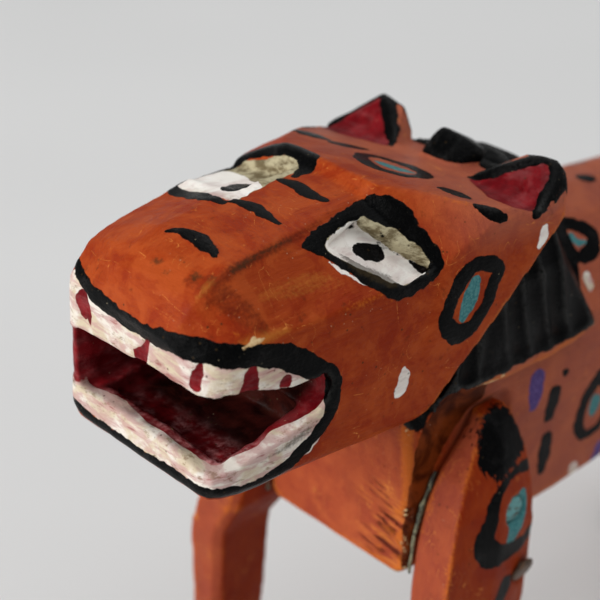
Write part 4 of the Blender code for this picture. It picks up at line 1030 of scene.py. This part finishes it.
def build_fittings():
    steel = old_steel("old_nail_steel")
    teal_steel = old_steel("painted_nail_steel", colour(0.36, 0.60, 0.60))
    orange_steel = old_steel("orange_nail_steel", colour(0.70, 0.29, 0.11))
    glue = dried_glue("dried_glue")
    dowels = {"neck_dowel": ("figure", (1.6, 0.1, 0.5)), "tail_peg": ("tail_dowel", (1.6, 0.18, 0.5))}
    for node in sorted(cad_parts):
        if node.startswith("nail"):
            nail = Carving(node, 0.22, soften=2)
            nail.push(0.10 * swell(nail.points, (1.6, 1.6, 1.6), 3))
            sunk = node.endswith("upper")
            look = teal_steel if node == "nail_front_left_upper" else orange_steel if sunk else steel
            nail.finish(look, "figure")
        elif node.startswith("glue"):
            bead = Carving(node, 0.2, soften=2)
            bead.push(0.42 * swell(bead.points, (1.5, 1.5, 2.6), 6) - 0.12)
            bead.finish(glue, "figure")
        elif node in dowels:
            body, grain = dowels[node]
            dowel = Carving(node, 0.4, soften=2)
            dowel.finish(raw_wood(node + "_wood", grain), body)


# ---------------------------------------------------------------- studio

def build_floor():
    mesh = bpy.data.meshes.new("floor")
    mesh.from_pydata([(-4, -4, 0), (4, -4, 0), (4, 4, 0), (-4, 4, 0)], [], [(0, 1, 2, 3)])
    floor = bpy.data.objects.new("floor", mesh)
    mesh.materials.append(studio_floor("studio_floor"))
    bpy.context.scene.collection.objects.link(floor)


def add_light(name, place, towards, size, power, tint):
    lamp = bpy.data.lights.new(name, "AREA")
    lamp.shape = "SQUARE"
    lamp.size = size
    lamp.energy = power
    lamp.color = tint
    thing = bpy.data.objects.new(name, lamp)
    bpy.context.scene.collection.objects.link(thing)
    thing.location = place
    thing.rotation_euler = (Vector(towards) - Vector(place)).to_track_quat("-Z", "Y").to_euler()


def light_studio():
    target = (0.0, -0.1, 0.15)
    add_light("window", (-0.60, -2.50, 0.95), target, 1.4, 66.0, (1.0, 0.985, 0.965))
    add_light("overhead", (0.8, 0.6, 2.9), target, 2.6, 40.0, (0.975, 0.985, 1.0))
    add_light("backdrop", (-0.9, 1.5, 1.7), (-0.45, 0.5, 0.0), 1.6, 6.5, (1.0, 1.0, 1.0))
    world = bpy.data.worlds.new("studio")
    bpy.context.scene.world = world
    world.use_nodes = True
    back = world.node_tree.nodes["Background"]
    back.inputs["Color"].default_value = (0.87, 0.88, 0.885, 1.0)
    seen = world.node_tree.nodes.new("ShaderNodeLightPath")
    strength = world.node_tree.nodes.new("ShaderNodeMapRange")
    strength.inputs["To Min"].default_value = 0.34
    strength.inputs["To Max"].default_value = 0.68
    world.node_tree.links.new(seen.outputs["Is Camera Ray"], strength.inputs["Value"])
    world.node_tree.links.new(strength.outputs[0], back.inputs["Strength"])


def place_camera():
    """The photograph's viewpoint: the animal's left front, a little above its head."""
    azimuth, dip, roll = math.radians(47.18), math.radians(28.62), math.radians(0.43)
    forward = Vector((-math.sin(azimuth) * math.cos(dip), math.cos(azimuth) * math.cos(dip), -math.sin(dip)))
    level = Vector((math.cos(azimuth), math.sin(azimuth), 0.0))
    upright = level.cross(forward)
    right = level * math.cos(roll) + upright * math.sin(roll)
    up = upright * math.cos(roll) - level * math.sin(roll)
    lens = bpy.data.cameras.new("camera")
    lens.lens = 97.0
    lens.sensor_width = 36.0
    lens.clip_start = 0.02
    camera = bpy.data.objects.new("camera", lens)
    bpy.context.scene.collection.objects.link(camera)
    turned = Matrix((right, up, -forward)).transposed().to_4x4()
    camera.matrix_world = Matrix.Translation(Vector((0.1957, -0.2935, 0.3001))) @ turned
    focus = bpy.data.objects.new("focus", None)
    focus.location = (0.018, -0.114, 0.168)
    bpy.context.scene.collection.objects.link(focus)
    lens.dof.use_dof = True
    lens.dof.focus_object = focus
    lens.dof.aperture_fstop = 19.0
    bpy.context.scene.camera = camera
    bpy.context.scene.view_settings.view_transform = "Standard"


build_head(painted("head_painted", (1.5, 0.12, 1.5), (0.30, 0.9, 1.1), 0.0))
build_torso(painted("torso_painted", (1.4, 0.11, 1.4), None, 20.0))
# The legs' darker coat is partly painted shade.
build_legs(painted("leg_painted", (1.4, 1.4, 0.12), None, 40.0, deep=0.55))
build_tail(painted("tail_painted", (1.3, 0.30, 0.30), None, 60.0, deep=0.15))
build_fittings()
build_floor()
light_studio()
place_camera()
